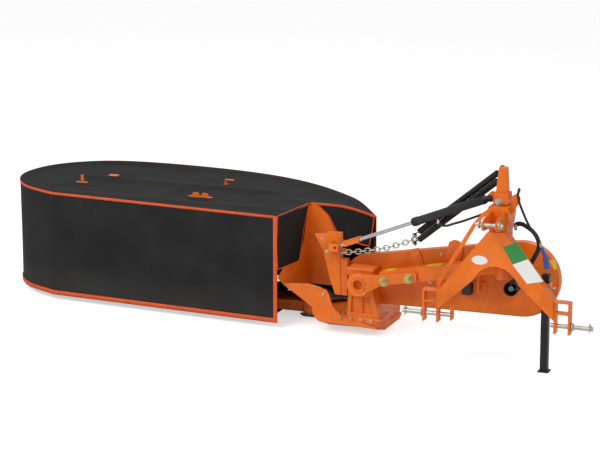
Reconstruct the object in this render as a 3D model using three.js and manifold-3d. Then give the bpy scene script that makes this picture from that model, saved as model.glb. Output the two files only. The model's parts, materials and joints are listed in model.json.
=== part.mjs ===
// Three-point-mounted disc mower with six discs, belt drive and a fabric safety cover.
// Millimetres, +Z up. X runs across the machine, with the cutter bar on the -X side.
// -Y points to the tractor. While it is built, x = 0 is the centre of the hitch, y = 0 the
// axis of the lower hitch pins and z = 0 the ground; the last lines move the origin under
// the middle of the whole machine.

import * as THREE from 'three';
import { mergeVertices } from 'three/addons/utils/BufferGeometryUtils.js';
import Module from 'manifold-3d';

const wasm = await Module();
wasm.setup();

// ---------------------------------------------------------------- driving dimensions

const FIT = 0.3;                // gap between two pieces that touch
const RUN = 6;                  // running gap between two pieces that move

// hitch
const LOWER_PIN_Z = 324;        // height of the lower hitch pins
const LOWER_PIN_D = 28;
const PIN_OUT = 138;            // pin beyond the outer clevis plate
const CLEVIS_INNER_X = 373;     // middle of the inner clevis plates, each side
const CLEVIS_GAP = 78;          // room for the ball of a lower link
const CLEVIS_T = 12;
const CLEVIS_DEPTH = 60;
const CLEVIS_BOTTOM_Z = 277;
const CLEVIS_TOP_Z = 480;
const THIRD_PLATE_X = 285;      // extra plate on the cutter side, for the breakaway latch
const MAST_H = 631;             // top-link pin above the lower pins
const TOP_PIN_Y = -175;
const TOP_PIN_D = 25;
const TOP_CLEVIS_GAP = 74;

// headstock frame and mast
const FRAME_DEPTH = 90;
const SHEET = 8;
const FRAME_TOP_Z = 880;
const FRAME_TOP_HALF = 54;
const ARCH_Z = 668;
const KINGPIN_Y = 90;
const KINGPIN_D = 50;
const MAST_TOP_Z = 1030;
const MAST_BOTTOM_Z = 700;
const POST_TOP_Z = 1262;
const POST_T = 44;

// stand
const STAND_X = 286;
const STAND_Y = 85;
const STAND_W = 45;
const STAND_TOP_Z = 612;
const SLEEVE_W = 60;
const SLEEVE_Z = [436, 566];
const STAND_PIN_Z = 530;
const STAND_PIN_R = 8;
const STAND_PLAY = 0.6;

// carrier: beam, fork arm, belt guard
const PIVOT = { x: -1040, z: 350 };   // lift pivot, along Y
const BEAM_SLOPE = Math.atan(0.2);
const BEAM_H = 92;
const BEAM_Y = [403, 493];
const FORK_T = 24;
const FORK_Y = [BEAM_Y[0] - FIT - FORK_T, BEAM_Y[0] - FIT];
const BEAM_X = [-905, -20];
const BEAM_REF = { x: -640, z: 448 };   // a point of the beam's middle line
const HUB_R = 76;
const PTO_Z = 442;
const SHAFT_R = 17.5;
const SHAFT_COLLAR_R = 30;
const CUP_R = 46;               // mouth of the shield round the input shaft
const CUP_DEPTH = 255;
const CUP_WALL = 4;
const GUARD_Y = [559, 622];
const GUARD_PLATE_T = 6;
const GUARD_BIG_R = 236;
const GUSSET_T = 10;
const GUARD_SMALL_R = 150;

// cutter bar
const DISC_COUNT = 6;
const DISC_PITCH = 380;
const DISC_FIRST_X = -1460;
const DISC_Y = 830;
const DISC_LONG_R = 165;
const DISC_SHORT_R = 125;
const DISC_Z = 128;             // underside of the discs
const SPINDLE_R = 20;
const DISC_T = 8;
const BLADE_TIP_R = 230;
const BAR_Z = [35, 105];
const BAR_Y = [720, 960];
const BAR_LOBE_R = 150;
const BAR_END_X = -950;
const SHOE_T = 35;
const OUTER_SHOE_W = 78;

// gearbox
const SPIGOT_R = 49;
const SPIGOT_BORE_R = 33;
const GEARBOX_Y = [FORK_Y[1] + FIT + 2, 545];
const FOOT_T = 16;

// cover
const COVER_Z = 756;            // top of the fabric cover
const CURTAIN_BOTTOM_Z = 36;
const FABRIC_T = 6;

// lifting gear
const ROD_PIN = { x: -1222, y: 470, z: 566 };
const BARREL_PIN = { x: -72, y: KINGPIN_Y, z: 1066 };
const EYE_T = 24;               // eyes at both ends of the lift cylinder
const EYE_PIN_R = 10;
const EYE_PLAY = 0.95;           // the eye tilts a little on its pin
const BARREL_R = 27;
const BARREL_LENGTH = 640;      // foot pin to the gland
const HOSE_PORT = 430;          // foot pin to the hose's port
const ROD_R = 12.5;
const ROD_LENGTH = 880;
const SPRING_PIN = { x: -18, y: 115 + BARREL_R, z: 1238 };
const SPRING_END = { x: -640, y: 293 + BARREL_R, z: 702 };
const SPRING_DROP = 52;         // second spring under the first
const SPRING_R = 18;
const SPRING_PIN_R = 7;
const HOOK_R = 4;
const YOKE_R = 6;
const YOKE_GAP = 5.2;
const YOKE_SPREAD = 26;         // hooks of the springs above and below the chain's end
const CHAIN_R = 9;
const SPRING_HOOK = 44;         // hook beyond the coils at each end
const HOSE_R = 8;
const CHAIN_END = { x: -1176, y: 478, z: 530 };

// ---------------------------------------------------------------- materials

function paint(color, roughness, metalness) {
  return new THREE.MeshStandardMaterial({ color, roughness, metalness });
}
const ORANGE = paint(0xe06a1c, 0.42, 0);
const BLACK_PAINT = paint(0x17181a, 0.45, 0);
const ZINC = paint(0xc9c6b8, 0.35, 0.9);
const CHROME = paint(0xd8dadd, 0.12, 1);
const STEEL = paint(0x8b8d90, 0.38, 0.9);
const FABRIC = paint(0x2e2f31, 0.85, 0);
const RUBBER = paint(0x151515, 0.7, 0);
const BLUE = paint(0x1d4f9c, 0.45, 0);

// ---------------------------------------------------------------- solids and geometry

function bare(geometry) {
  const g = geometry.clone();
  g.deleteAttribute('normal');
  g.deleteAttribute('uv');
  return mergeVertices(g, 1e-4);
}

function solidOf(geometry) {
  const g = bare(geometry);
  return new wasm.Manifold(new wasm.Mesh({
    numProp: 3,
    vertProperties: new Float32Array(g.attributes.position.array),
    triVerts: new Uint32Array(g.index.array),
  }));
}

function geometryOf(solid) {
  const mesh = solid.getMesh();
  const g = new THREE.BufferGeometry();
  g.setAttribute('position', new THREE.BufferAttribute(new Float32Array(mesh.vertProperties), 3));
  g.setIndex(new THREE.BufferAttribute(new Uint32Array(mesh.triVerts), 1));
  g.computeVertexNormals();
  return g;
}

function join(...geometries) {
  return geometryOf(geometries.map(solidOf).reduce((sum, next) => sum.add(next)));
}

function cut(geometry, ...tools) {
  return geometryOf(tools.map(solidOf).reduce((rest, tool) => rest.subtract(tool), solidOf(geometry)));
}

function common(a, b) {
  return geometryOf(solidOf(a).intersect(solidOf(b)));
}

// a box between two corners
function block(x0, x1, y0, y1, z0, z1) {
  return new THREE.BoxGeometry(x1 - x0, y1 - y0, z1 - z0)
    .translate((x0 + x1) / 2, (y0 + y1) / 2, (z0 + z1) / 2);
}

// a round bar along an axis, from a start point
function rodX(x0, x1, y, z, r, sides = 20) {
  return new THREE.CylinderGeometry(r, r, x1 - x0, sides).rotateZ(Math.PI / 2)
    .translate((x0 + x1) / 2, y, z);
}
function rodY(y0, y1, x, z, r, sides = 24) {
  return new THREE.CylinderGeometry(r, r, y1 - y0, sides).translate(x, (y0 + y1) / 2, z);
}
function rodZ(z0, z1, x, y, r, sides = 24) {
  return new THREE.CylinderGeometry(r, r, z1 - z0, sides).rotateX(Math.PI / 2)
    .translate(x, y, (z0 + z1) / 2);
}

function shapeOf(points) {
  return new THREE.Shape(points.map(([a, b]) => new THREE.Vector2(a, b)));
}

// outlines drawn in one plane and thickened along the third axis
function plateXZ(shape, y0, y1) {
  return new THREE.ExtrudeGeometry(shape, { depth: y1 - y0, bevelEnabled: false, curveSegments: 10 })
    .rotateX(Math.PI / 2).translate(0, y1, 0);
}
function plateXY(shape, z0, z1) {
  return new THREE.ExtrudeGeometry(shape, { depth: z1 - z0, bevelEnabled: false, curveSegments: 12 })
    .translate(0, 0, z0);
}
function plateYZ(shape, x0, x1) {
  return new THREE.ExtrudeGeometry(shape, { depth: x1 - x0, bevelEnabled: false, curveSegments: 10 })
    .rotateX(Math.PI / 2).rotateZ(Math.PI / 2).translate(x0, 0, 0);
}

// a round section swept along a path
function tube(points, radius, steps, sides = 8) {
  const section = new THREE.Shape();
  for (let i = 0; i < sides; i += 1) {
    const a = (i / sides) * 2 * Math.PI;
    const corner = [radius * Math.cos(a), radius * Math.sin(a)];
    if (i === 0) section.moveTo(...corner);
    else section.lineTo(...corner);
  }
  const path = new THREE.CatmullRomCurve3(points.map((p) => new THREE.Vector3(...p)), false, 'centripetal');
  return new THREE.ExtrudeGeometry(section, { steps, extrudePath: path, bevelEnabled: false });
}

// a round bar between any two points
function bar(from, to, r, sides = 16) {
  const a = new THREE.Vector3(...from);
  const b = new THREE.Vector3(...to);
  const along = b.clone().sub(a);
  const turn = new THREE.Quaternion().setFromUnitVectors(
    new THREE.Vector3(0, 1, 0), along.clone().normalize());
  const middle = a.clone().add(b).multiplyScalar(0.5);
  return new THREE.CylinderGeometry(r, r, along.length(), sides)
    .applyQuaternion(turn).translate(middle.x, middle.y, middle.z);
}

const machine = new THREE.Group();

function piece(name, geometry, material, parent = machine) {
  const mesh = new THREE.Mesh(geometry, material);
  mesh.name = name;
  parent.add(mesh);
  return mesh;
}

// ---------------------------------------------------------------- headstock

const clevisOuterX = CLEVIS_INNER_X + CLEVIS_T + CLEVIS_GAP;
const legEndX = CLEVIS_INNER_X - CLEVIS_T / 2;

function headstockOutline(inset) {
  const s = new THREE.Shape();
  s.moveTo(-FRAME_TOP_HALF + inset, FRAME_TOP_Z - inset);
  s.lineTo(FRAME_TOP_HALF - inset, FRAME_TOP_Z - inset);
  s.lineTo(legEndX - inset, CLEVIS_TOP_Z - 2 - inset);
  s.lineTo(legEndX - inset, 365 + 1.6 * inset);
  s.lineTo(150 + 0.4 * inset, 560 + inset);
  s.quadraticCurveTo(92, ARCH_Z + inset, 0, ARCH_Z + inset);
  s.quadraticCurveTo(-92, ARCH_Z + inset, -150 - 0.4 * inset, 560 + inset);
  s.lineTo(-legEndX + inset, 365 + 1.6 * inset);
  s.lineTo(-legEndX + inset, CLEVIS_TOP_Z - 2 - inset);
  s.closePath();
  return s;
}

function headstockFrame() {
  const half = FRAME_DEPTH / 2;
  const outside = plateXZ(headstockOutline(0), -half, half);
  const hollow = plateXZ(headstockOutline(SHEET), -half + SHEET, half + 1);
  const parts = [cut(outside, hollow)];
  const d = CLEVIS_DEPTH / 2;
  const t = CLEVIS_T / 2;
  for (const side of [-1, 1]) {
    for (const x of [CLEVIS_INNER_X, clevisOuterX]) {
      parts.push(block(side * x - t, side * x + t, -d, d, CLEVIS_BOTTOM_Z, CLEVIS_TOP_Z));
    }
    const x0 = Math.min(side * legEndX, side * (clevisOuterX + t));
    const x1 = Math.max(side * legEndX, side * (clevisOuterX + t));
    parts.push(block(x0, x1, -d, d, CLEVIS_TOP_Z - 10, CLEVIS_TOP_Z));
    parts.push(block(x0, x1, -d, d, 400, 410));
  }
  // latch plate on the cutter side, hung from the leg
  parts.push(block(-THIRD_PLATE_X - 4, -THIRD_PLATE_X + 4, -d, d, 295, 470));
  const holes = [];
  for (const side of [-1, 1]) {
    const from = side < 0 ? -700 : 300;
    holes.push(rodX(from, from + 450, 0, LOWER_PIN_Z, LOWER_PIN_D / 2 + FIT));
  }
  return cut(join(...parts), ...holes);
}

function mastTower() {
  const rear = [45 + FIT, 150];
  const upper = shapeOf([[-56, FRAME_TOP_Z + FIT], [56, FRAME_TOP_Z + FIT], [69, 985],
    [62, MAST_TOP_Z], [-62, MAST_TOP_Z], [-69, 985]]);
  const parts = [
    plateXZ(upper, -10, rear[1]),
    block(-50, 50, rear[0], rear[1], MAST_BOTTOM_Z, 900),
  ];
  // plates of the top-link clevis
  const ear = shapeOf([[-5, 905], [-5, 1010], [TOP_PIN_Y + 10, 985], [TOP_PIN_Y - 22, 965],
    [TOP_PIN_Y - 22, 935], [TOP_PIN_Y + 5, 915]]);
  for (const side of [-1, 1]) {
    const x = side * (TOP_CLEVIS_GAP / 2 + 6);
    parts.push(plateYZ(ear, x - 6, x + 6));
  }
  // round ear that carries the supply hose beside the collar
  const neck = shapeOf([[45, 975], [67, 975], [118, 1060], [90, 1080], [71, 1060], [71, 1040], [62, 1028],
    [45, 1028]]);
  parts.push(plateXZ(neck, 48, 56), rodY(48, 56, 93, 1077, 29, 28));
  const body = join(...parts);
  return cut(body,
    rodZ(MAST_BOTTOM_Z - 5, MAST_TOP_Z + 5, 0, KINGPIN_Y, KINGPIN_D / 2 + 1),
    rodX(-90, 90, TOP_PIN_Y, LOWER_PIN_Z + MAST_H, TOP_PIN_D / 2 + FIT));
}

piece('headstock_frame', headstockFrame(), ORANGE);
piece('mast_tower', mastTower(), ORANGE);
piece('top_link_pin', rodX(-92, 82, TOP_PIN_Y, LOWER_PIN_Z + MAST_H, TOP_PIN_D / 2), ZINC);
const pinTip = clevisOuterX + CLEVIS_T / 2 + PIN_OUT;
piece('lower_pin_left',
  rodX(-pinTip, -THIRD_PLATE_X + CLEVIS_T, 0, LOWER_PIN_Z, LOWER_PIN_D / 2), ZINC);
piece('lower_pin_right', rodX(CLEVIS_INNER_X - 30, pinTip, 0, LOWER_PIN_Z, LOWER_PIN_D / 2), ZINC);

// flat stay from the mast down to the cutter-side clevis
const stayY = CLEVIS_DEPTH / 2 + FIT;
const stayX = -legEndX - 1;     // inner edge of its lower end
const stay = shapeOf([[-80, 1003], [-112, 978], [-172, 905], [stayX - 28, 520], [stayX - 28, 440],
  [stayX, 440], [stayX, 512], [-150, 893], [-100, 955], [-70, 965], [-70, 1003]]);
piece('stay_bar', plateXZ(stay, stayY, stayY + 8), ORANGE);

// ---------------------------------------------------------------- stand

function standSleeve() {
  const h = SLEEVE_W / 2;
  const inner = STAND_W / 2 + STAND_PLAY;
  const body = block(STAND_X - h, STAND_X + h, STAND_Y - h, STAND_Y + h, ...SLEEVE_Z);
  const neck = block(STAND_X - 20, STAND_X + 20, FRAME_DEPTH / 2 + FIT, STAND_Y - h + 5, 450, 520);
  const bore = block(STAND_X - inner, STAND_X + inner, STAND_Y - inner, STAND_Y + inner, 400, 600);
  return cut(join(body, neck), bore,
    rodX(STAND_X, STAND_X + 60, STAND_Y, STAND_PIN_Z, STAND_PIN_R + FIT, 16));
}
function standLeg() {
  const h = STAND_W / 2;
  const tubePart = block(STAND_X - h, STAND_X + h, STAND_Y - h, STAND_Y + h, 8, STAND_TOP_Z);
  const foot = block(STAND_X - 34, STAND_X + 34, STAND_Y - 34, STAND_Y + 34, 0, 8.5);
  return join(tubePart, foot);
}
piece('stand_sleeve', standSleeve(), ORANGE);
piece('stand_leg', standLeg(), BLACK_PAINT);
piece('stand_pin',
  rodX(STAND_X + STAND_W / 2 + STAND_PLAY, STAND_X + 58, STAND_Y, STAND_PIN_Z, STAND_PIN_R, 16), ZINC);

// ---------------------------------------------------------------- carrier

const beamMiddleZ = (x) => BEAM_REF.z + (x - BEAM_REF.x) * Math.tan(BEAM_SLOPE);

// a bar with the beam's slope, between two x, with its faces above and below the middle line
function sloped(x0, x1, y0, y1, below, above) {
  const s = shapeOf([[x0, beamMiddleZ(x0) - below], [x1, beamMiddleZ(x1) - below],
    [x1, beamMiddleZ(x1) + above], [x0, beamMiddleZ(x0) + above]]);
  return plateXZ(s, y0, y1);
}

function mainBeam() {
  const h = BEAM_H / 2;
  const beam = sloped(BEAM_X[0], BEAM_X[1] + 60, ...BEAM_Y, h, h);
  const head = rodZ(560, MAST_BOTTOM_Z - RUN, 0, KINGPIN_Y, 38, 28);
  const armZ = beamMiddleZ(0);
  const arm = block(-44, 40, KINGPIN_Y + 20, BEAM_Y[0] + 20, armZ - 5, armZ + 75);
  const pin = rodZ(600, MAST_TOP_Z + 40, 0, KINGPIN_Y, KINGPIN_D / 2, 24);
  const post = plateXZ(shapeOf([[-40, 1100], [36, 1100], [26, POST_TOP_Z - 6], [20, POST_TOP_Z],
    [-18, POST_TOP_Z], [-24, POST_TOP_Z - 6]]), KINGPIN_Y - POST_T / 2, KINGPIN_Y + POST_T / 2);
  const collar = block(-45, 45, KINGPIN_Y - 42, KINGPIN_Y + 42, MAST_TOP_Z + RUN, 1107);
  const parts = [beam, arm, head, pin, post, collar];
  // ears for the cylinder's foot, either side of its eye
  const ear = shapeOf([[-44, 1036 + RUN], [-44, 1100], [BARREL_PIN.x - 8, 1100], [BARREL_PIN.x - 20, 1080],
    [BARREL_PIN.x - 20, BARREL_PIN.z], [BARREL_PIN.x, 1036 + RUN]]);
  for (const side of [-1, 1]) {
    const y = KINGPIN_Y + side * (EYE_T / 2 + 9);
    parts.push(plateXZ(ear, y - 4, y + 4));
  }
  // cross pins that carry the balance springs
  for (const drop of [0, SPRING_DROP]) {
    parts.push(rodY(KINGPIN_Y, SPRING_PIN.y + 12, SPRING_PIN.x, SPRING_PIN.z - drop, SPRING_PIN_R, 16));
  }
  parts.push(rodY(KINGPIN_Y - 25, KINGPIN_Y + 25, BARREL_PIN.x, BARREL_PIN.z, EYE_PIN_R, 16));
  return join(...parts);
}

function forkArm() {
  const ring = rodY(...FORK_Y, PIVOT.x, PIVOT.z, HUB_R, 36);
  const neck = shapeOf([[PIVOT.x + 30, PIVOT.z + 72], [-924, 423], [-662, 470], [-649, 462], [-647, 410],
    [-662, 399], [-878, 364], [-985, PIVOT.z - 50]]);
  const arm = plateXZ(neck, ...FORK_Y);
  const bore = rodY(FORK_Y[0] - 5, FORK_Y[1] + 5, PIVOT.x, PIVOT.z, SPIGOT_R + FIT, 40);
  return cut(join(ring, arm), bore);
}

// outline round the two pulleys of the belt drive
function beltOutline(grow) {
  const big = { x: 0, z: PTO_Z, r: GUARD_BIG_R + grow };
  const small = { x: PIVOT.x, z: PIVOT.z, r: GUARD_SMALL_R + grow };
  const span = Math.hypot(big.x - small.x, big.z - small.z);
  const tilt = Math.atan2(big.z - small.z, big.x - small.x);
  const spread = Math.acos((big.r - small.r) / span);
  const s = new THREE.Shape();
  s.absarc(big.x, big.z, big.r, tilt - Math.PI + spread, tilt + Math.PI - spread, false);
  s.absarc(small.x, small.z, small.r, tilt + Math.PI - spread, tilt + Math.PI + spread, false);
  s.closePath();
  return s;
}

function beltCover() {
  const shell = plateXZ(beltOutline(8), ...GUARD_Y);
  const hollow = plateXZ(beltOutline(4), GUARD_Y[0] - 1, GUARD_Y[1] - 4);
  return cut(shell, hollow);
}

function beltPlate() {
  const plate = plateXZ(beltOutline(0), GUARD_Y[0] - GUARD_PLATE_T - FIT, GUARD_Y[0] - FIT);
  const lip = plateXZ(beltOutline(8), GUARD_Y[0] - 3, GUARD_Y[0] - FIT);
  const shaftHole = rodY(GUARD_Y[0] - 20, GUARD_Y[0] + 5, 0, PTO_Z, SHAFT_COLLAR_R + FIT, 32);
  const hubHole = rodY(GUARD_Y[0] - 20, GUARD_Y[0] + 5, PIVOT.x, PIVOT.z, 55, 32);
  return cut(join(plate, lip), shaftHole, hubHole);
}

// webs from the beam to the guard, each with a plate that lies on the guard
function guardBrackets() {
  const plateY = GUARD_Y[0] - GUARD_PLATE_T - 2 * FIT;
  const web = (x, z0, z1) => block(x - 5, x + 5, BEAM_Y[1] + FIT, plateY, z0, z1);
  const onGuard = (outline) => plateXZ(shapeOf(outline), plateY - GUSSET_T, plateY);
  return [
    join(web(-690, 420, 478), onGuard([[-747, 560], [-745, 574], [-689, 590], [-650, 470], [-700, 440]])),
    join(web(-440, 470, 528), onGuard([[-500, 560], [-484, 646], [-452, 664], [-420, 660], [-392, 634],
      [-388, 600], [-406, 540], [-430, 500], [-470, 500]])),
    join(web(-270, 350, 560), onGuard([[-316, 340], [-230, 340], [-230, 405], [-316, 405]])),
  ];
}
// box of the belt tensioner, in front of the guard
function tensionerBox() {
  return block(-381, -322, 500, GUARD_Y[0] - GUARD_PLATE_T - 2 * FIT, 321, 396);
}

piece('main_beam', mainBeam(), ORANGE);
piece('fork_arm', forkArm(), ORANGE);
piece('belt_guard_plate', beltPlate(), ORANGE);
piece('belt_guard_cover', beltCover(), ORANGE);
guardBrackets().forEach((g, i) => piece(`guard_bracket_${i + 1}`, g, ORANGE));
piece('tensioner_box', tensionerBox(), BLACK_PAINT);

// input shaft with its shield cup
const shaftLine = { x: 0, z: PTO_Z };
function ptoShield() {
  const face = GUARD_Y[0] - GUARD_PLATE_T - 2 * FIT;
  const neck = CUP_R - 5;
  const profile = [[neck - CUP_WALL, 0], [neck - CUP_WALL, -150], [CUP_R - CUP_WALL, -CUP_DEPTH],
    [CUP_R, -CUP_DEPTH], [neck, -148], [neck, 0]]
    .map(([r, y]) => new THREE.Vector2(r, y));
  profile.push(profile[0].clone());
  return new THREE.LatheGeometry(profile, 28).translate(shaftLine.x, face, shaftLine.z);
}
piece('pto_shield', ptoShield(), RUBBER);
const shaftEnds = [310, GUARD_Y[0] - FIT];
piece('pto_shaft', join(rodY(...shaftEnds, 0, PTO_Z, SHAFT_R, 20),
  rodY(shaftEnds[0] + 70, shaftEnds[1], 0, PTO_Z, SHAFT_COLLAR_R, 32)), STEEL);

// ---------------------------------------------------------------- gearbox and inner shoe

const discX = (i) => DISC_FIRST_X - i * DISC_PITCH;
const barFarX = discX(DISC_COUNT - 1) - BAR_LOBE_R - 20;

const footZ = [BAR_Z[1] + FIT, BAR_Z[1] + FIT + FOOT_T];

function gearbox() {
  const x = PIVOT.x;
  const z = PIVOT.z;
  const [y0, y1] = GEARBOX_Y;
  const top = block(x - 82, x + 82, y0 + 20, y1, z + 30, z + 88);
  const lid = block(x - 88, x + 88, y0 + 14, y1, z + 86, z + 100);
  const barrel = rodY(y0, y1, x, z, HUB_R, 36);
  const legs = plateXZ(shapeOf([[x - 82, z + 25], [x - 92, footZ[0] + 5], [x + 130, footZ[0] + 5],
    [x + 84, z - 60], [x + 82, z + 25]]), y0 + 24, y1);
  const recess = plateXZ(shapeOf([[x - 62, z - 92], [x - 68, footZ[1] + 30], [x + 84, footZ[1] + 30],
    [x + 58, z - 92]]), y0, y0 + 42);
  const rib = block(x + 4, x + 12, y0 + 26, y0 + 50, footZ[1], z - 60);
  const foot = block(-1195, -900, y0 + 18, 690, ...footZ);
  const spigot = rodY(FORK_Y[0] - 6, y0 + 10, x, z, SPIGOT_R, 40);
  const bore = rodY(FORK_Y[0] - 10, y0 + 6, x, z, SPIGOT_BORE_R, 32);
  return cut(join(cut(join(top, lid, barrel, legs), recess), rib, foot, spigot), bore);
}
piece('gearbox_housing', gearbox(), ORANGE);

function innerShoe() {
  const front = 415;
  const profile = shapeOf([[610, 0], [905, 0], [945, 20], [945, SHOE_T - FIT],
    [BAR_Y[0] - FIT, SHOE_T - FIT], [BAR_Y[0] - FIT, BAR_Z[1]], [front + 5, BAR_Z[1]],
    [front, 88], [front + 14, 66]]);
  const lobe = rodZ(-5, 200, discX(0), DISC_Y, BAR_LOBE_R + FIT, 24);
  return cut(plateYZ(profile, -1330, -935), lobe);
}
piece('inner_shoe', innerShoe(), ORANGE);

// ---------------------------------------------------------------- cutter bar

function cutterBar() {
  const bores = [];
  const parts = [block(barFarX, BAR_END_X, ...BAR_Y, ...BAR_Z)];
  for (let i = 0; i < DISC_COUNT; i += 1) {
    parts.push(rodZ(...BAR_Z, discX(i), DISC_Y, BAR_LOBE_R, 24));
    parts.push(rodZ(BAR_Z[1] - 5, DISC_Z - RUN, discX(i), DISC_Y, 58, 20));
    bores.push(rodZ(BAR_Z[1] - 8, DISC_Z, discX(i), DISC_Y, SPINDLE_R + FIT, 20));
  }
  return cut(join(...parts), ...bores);
}
piece('cutter_bar', cutterBar(), ORANGE);

function skid(x) {
  const lobe = DISC_Y - BAR_LOBE_R;
  const heel = BAR_Y[1] + 10;
  const profile = shapeOf([[lobe + 50, 0], [heel - 45, 0], [heel, 22], [heel, SHOE_T - FIT],
    [heel - 20, SHOE_T - FIT], [heel - 55, 7], [lobe + 56, 7], [lobe + 22, SHOE_T - FIT],
    [lobe - 8, SHOE_T - FIT], [lobe - 8, 28]]);
  return plateYZ(profile, x - 95, x + 95);
}
for (let i = 0; i < DISC_COUNT; i += 1) piece(`skid_${i + 1}`, skid(discX(i)), STEEL);

function outerShoe() {
  const profile = shapeOf([[740, 0], [930, 0], [975, 25], [975, 118], [715, 118], [700, 70], [710, 20]]);
  return plateYZ(profile, barFarX - OUTER_SHOE_W, barFarX - FIT);
}
piece('outer_shoe', outerShoe(), ORANGE);

// oval discs with two blades each, every second one turned a quarter
function discGeometry() {
  const oval = new THREE.Shape();
  oval.absellipse(0, 0, DISC_LONG_R, DISC_SHORT_R, 0, 2 * Math.PI, false);
  const plate = new THREE.ExtrudeGeometry(oval, { depth: DISC_T, bevelEnabled: false, curveSegments: 14 });
  const dome = new THREE.CylinderGeometry(45, 92, 30, 24).rotateX(Math.PI / 2).translate(0, 0, DISC_T + 14);
  const spindle = new THREE.CylinderGeometry(SPINDLE_R, SPINDLE_R, 36, 20)
    .rotateX(Math.PI / 2).translate(0, 0, -14);
  const blade = (turn) => new THREE.BoxGeometry(BLADE_TIP_R - DISC_LONG_R + 40, 46, 5)
    .translate((BLADE_TIP_R + DISC_LONG_R - 40) / 2, 0, -1).rotateZ(turn);
  return join(plate, dome, spindle, blade(0), blade(Math.PI));
}
const disc = discGeometry();
for (let i = 0; i < DISC_COUNT; i += 1) {
  const mesh = piece(`disc_${i + 1}`, disc, STEEL);
  mesh.position.set(discX(i), DISC_Y, DISC_Z + 4);
  mesh.rotation.z = i % 2 === 0 ? 0 : Math.PI / 2;
}

// ---------------------------------------------------------------- shield, upright and cover frame

const uprightX = [-1300, -1205];
const channelX = [-1243, -1158];
const shieldTop = COVER_Z - FABRIC_T - FIT;
const SHIELD_X = -1556;
const SHIELD_T = 6;
const DIVIDER_Y = 845;
const DIVIDER_LEAN = 0.099;     // the side plate's way towards -X, for each mm forward
const NOSE_Y = 460;
const dividerShift = (y) => DIVIDER_LEAN * (y - DIVIDER_Y);
const lean = new THREE.Matrix4().makeShear(0, 0, DIVIDER_LEAN, 0, 0, 0);
const leaned = (geometry) => geometry.applyMatrix4(lean).translate(-DIVIDER_LEAN * DIVIDER_Y, 0, 0);

// folded divider: a side plate along the cut and a brace that faces forward
function innerShield() {
  const side = shapeOf([[392, 348], [470, 395], [690, 395], [760, 520], [838, shieldTop], [905, shieldTop],
    [905, 180], [800, 205], [500, 262], [462, 282], [392, 338]]);
  const brace = shapeOf([[SHIELD_X, shieldTop], [-1512, shieldTop], [-1423, 672], [-1378, 583], [-1342, 515],
    [-1290, 300], [-1290, 200], [SHIELD_X, 200]]);
  return join(leaned(plateYZ(side, SHIELD_X, SHIELD_X + SHIELD_T)),
    plateXZ(brace, DIVIDER_Y, DIVIDER_Y + SHIELD_T));
}

// folded plate in front of the shoe
function shieldNose() {
  const near = SHIELD_X + SHIELD_T + dividerShift(NOSE_Y + SHIELD_T) + FIT;
  const upper = shapeOf([[near, 292], [-1409, 304], [-1290, 274], [-1271, 245], [-1240, 150], [-1388, 150],
    [-1530, 243], [near, 277]]);
  const fold = [[NOSE_Y + SHIELD_T, 158], [NOSE_Y, 158], [402, 125], [402, 50], [408, 50], [408, 122],
    [NOSE_Y + SHIELD_T, 152]];
  const lower = shapeOf([[-1388, 160], [-1240, 160], [-1150, 118], [-942, 76], [-903, 58], [-1315, 72],
    [-1340, 90]]);
  return join(plateXZ(upper, NOSE_Y, NOSE_Y + SHIELD_T),
    common(plateYZ(shapeOf(fold), -1500, -900), plateXZ(lower, 380, 480)));
}

function upright() {
  const y = [500, 545];
  const post = block(...uprightX, ...y, 440, 650);
  const channel = block(...channelX, ...y, 238, 480);
  const wing = plateXZ(shapeOf([[-1384, 634], [-1292, 648], [-1233, 648], [-1207, 575], [-1207, 470],
    [-1200, 240], [-1241, 240], [-1280, 352], [-1325, 534]]), y[0] - 6, y[0] + 1);
  const tie = block(channelX[1] - 1, PIVOT.x - 82 - FIT, y[0], y[1] - 5, 380, 430);
  const ears = [-1, 1].map((side) => {
    const m = ROD_PIN.y + side * (EYE_T / 2 + 15.5);
    return block(ROD_PIN.x - 46, ROD_PIN.x + 20, m - 4, m + 4, ROD_PIN.z - 26, ROD_PIN.z + 26);
  });
  const earZ = [ROD_PIN.z - 26, ROD_PIN.z + 26];
  const back = block(ROD_PIN.x - 46, ROD_PIN.x - 32, ROD_PIN.y - 25, y[0] + 1, ...earZ);
  const lug = block(uprightX[1] - 1, CHAIN_END.x + 10, y[0], y[0] + 16, CHAIN_END.z - 18, CHAIN_END.z + 18);
  return cut(join(post, channel, wing, tie, back, lug, ...ears),
    rodY(ROD_PIN.y - 40, y[0] - 8, ROD_PIN.x, ROD_PIN.z, EYE_PIN_R + FIT, 16));
}
piece('inner_shield', innerShield(), ORANGE);
piece('shield_nose', shieldNose(), ORANGE);
piece('upright', upright(), ORANGE);

// ---------------------------------------------------------------- fabric cover

const frontRight = [-1604, 385];
const rearRight = [-1085, 850];
// the curved edge, as shares of the cutter bar's length and y
const coverShares = [[0.889, 505], [1.0145, 640], [1.0928, 840], [1.1184, 1060], [1.0942, 1300],
  [1.0242, 1490], [0.913, 1620], [0.744, 1668], [0.5024, 1645], [0.2995, 1560], [0.1256, 1395],
  [-0.029, 1150]];
const coverPath = coverShares.map(([share, y]) => [DISC_FIRST_X + share * (barFarX - DISC_FIRST_X), y]);

// points of the cover's outer edge, moved in by a distance
function coverEdge(inward) {
  const curve = new THREE.SplineCurve([...coverPath, rearRight].map((p) => new THREE.Vector2(...p)));
  const round = curve.getSpacedPoints(44);
  const line = [new THREE.Vector2(...frontRight), ...round];
  return line.map((p, i) => {
    const a = line[Math.max(0, i - 1)];
    const b = line[Math.min(line.length - 1, i + 1)];
    const d = b.clone().sub(a).normalize();
    return [p.x + d.y * inward, p.y - d.x * inward];
  });
}

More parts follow.
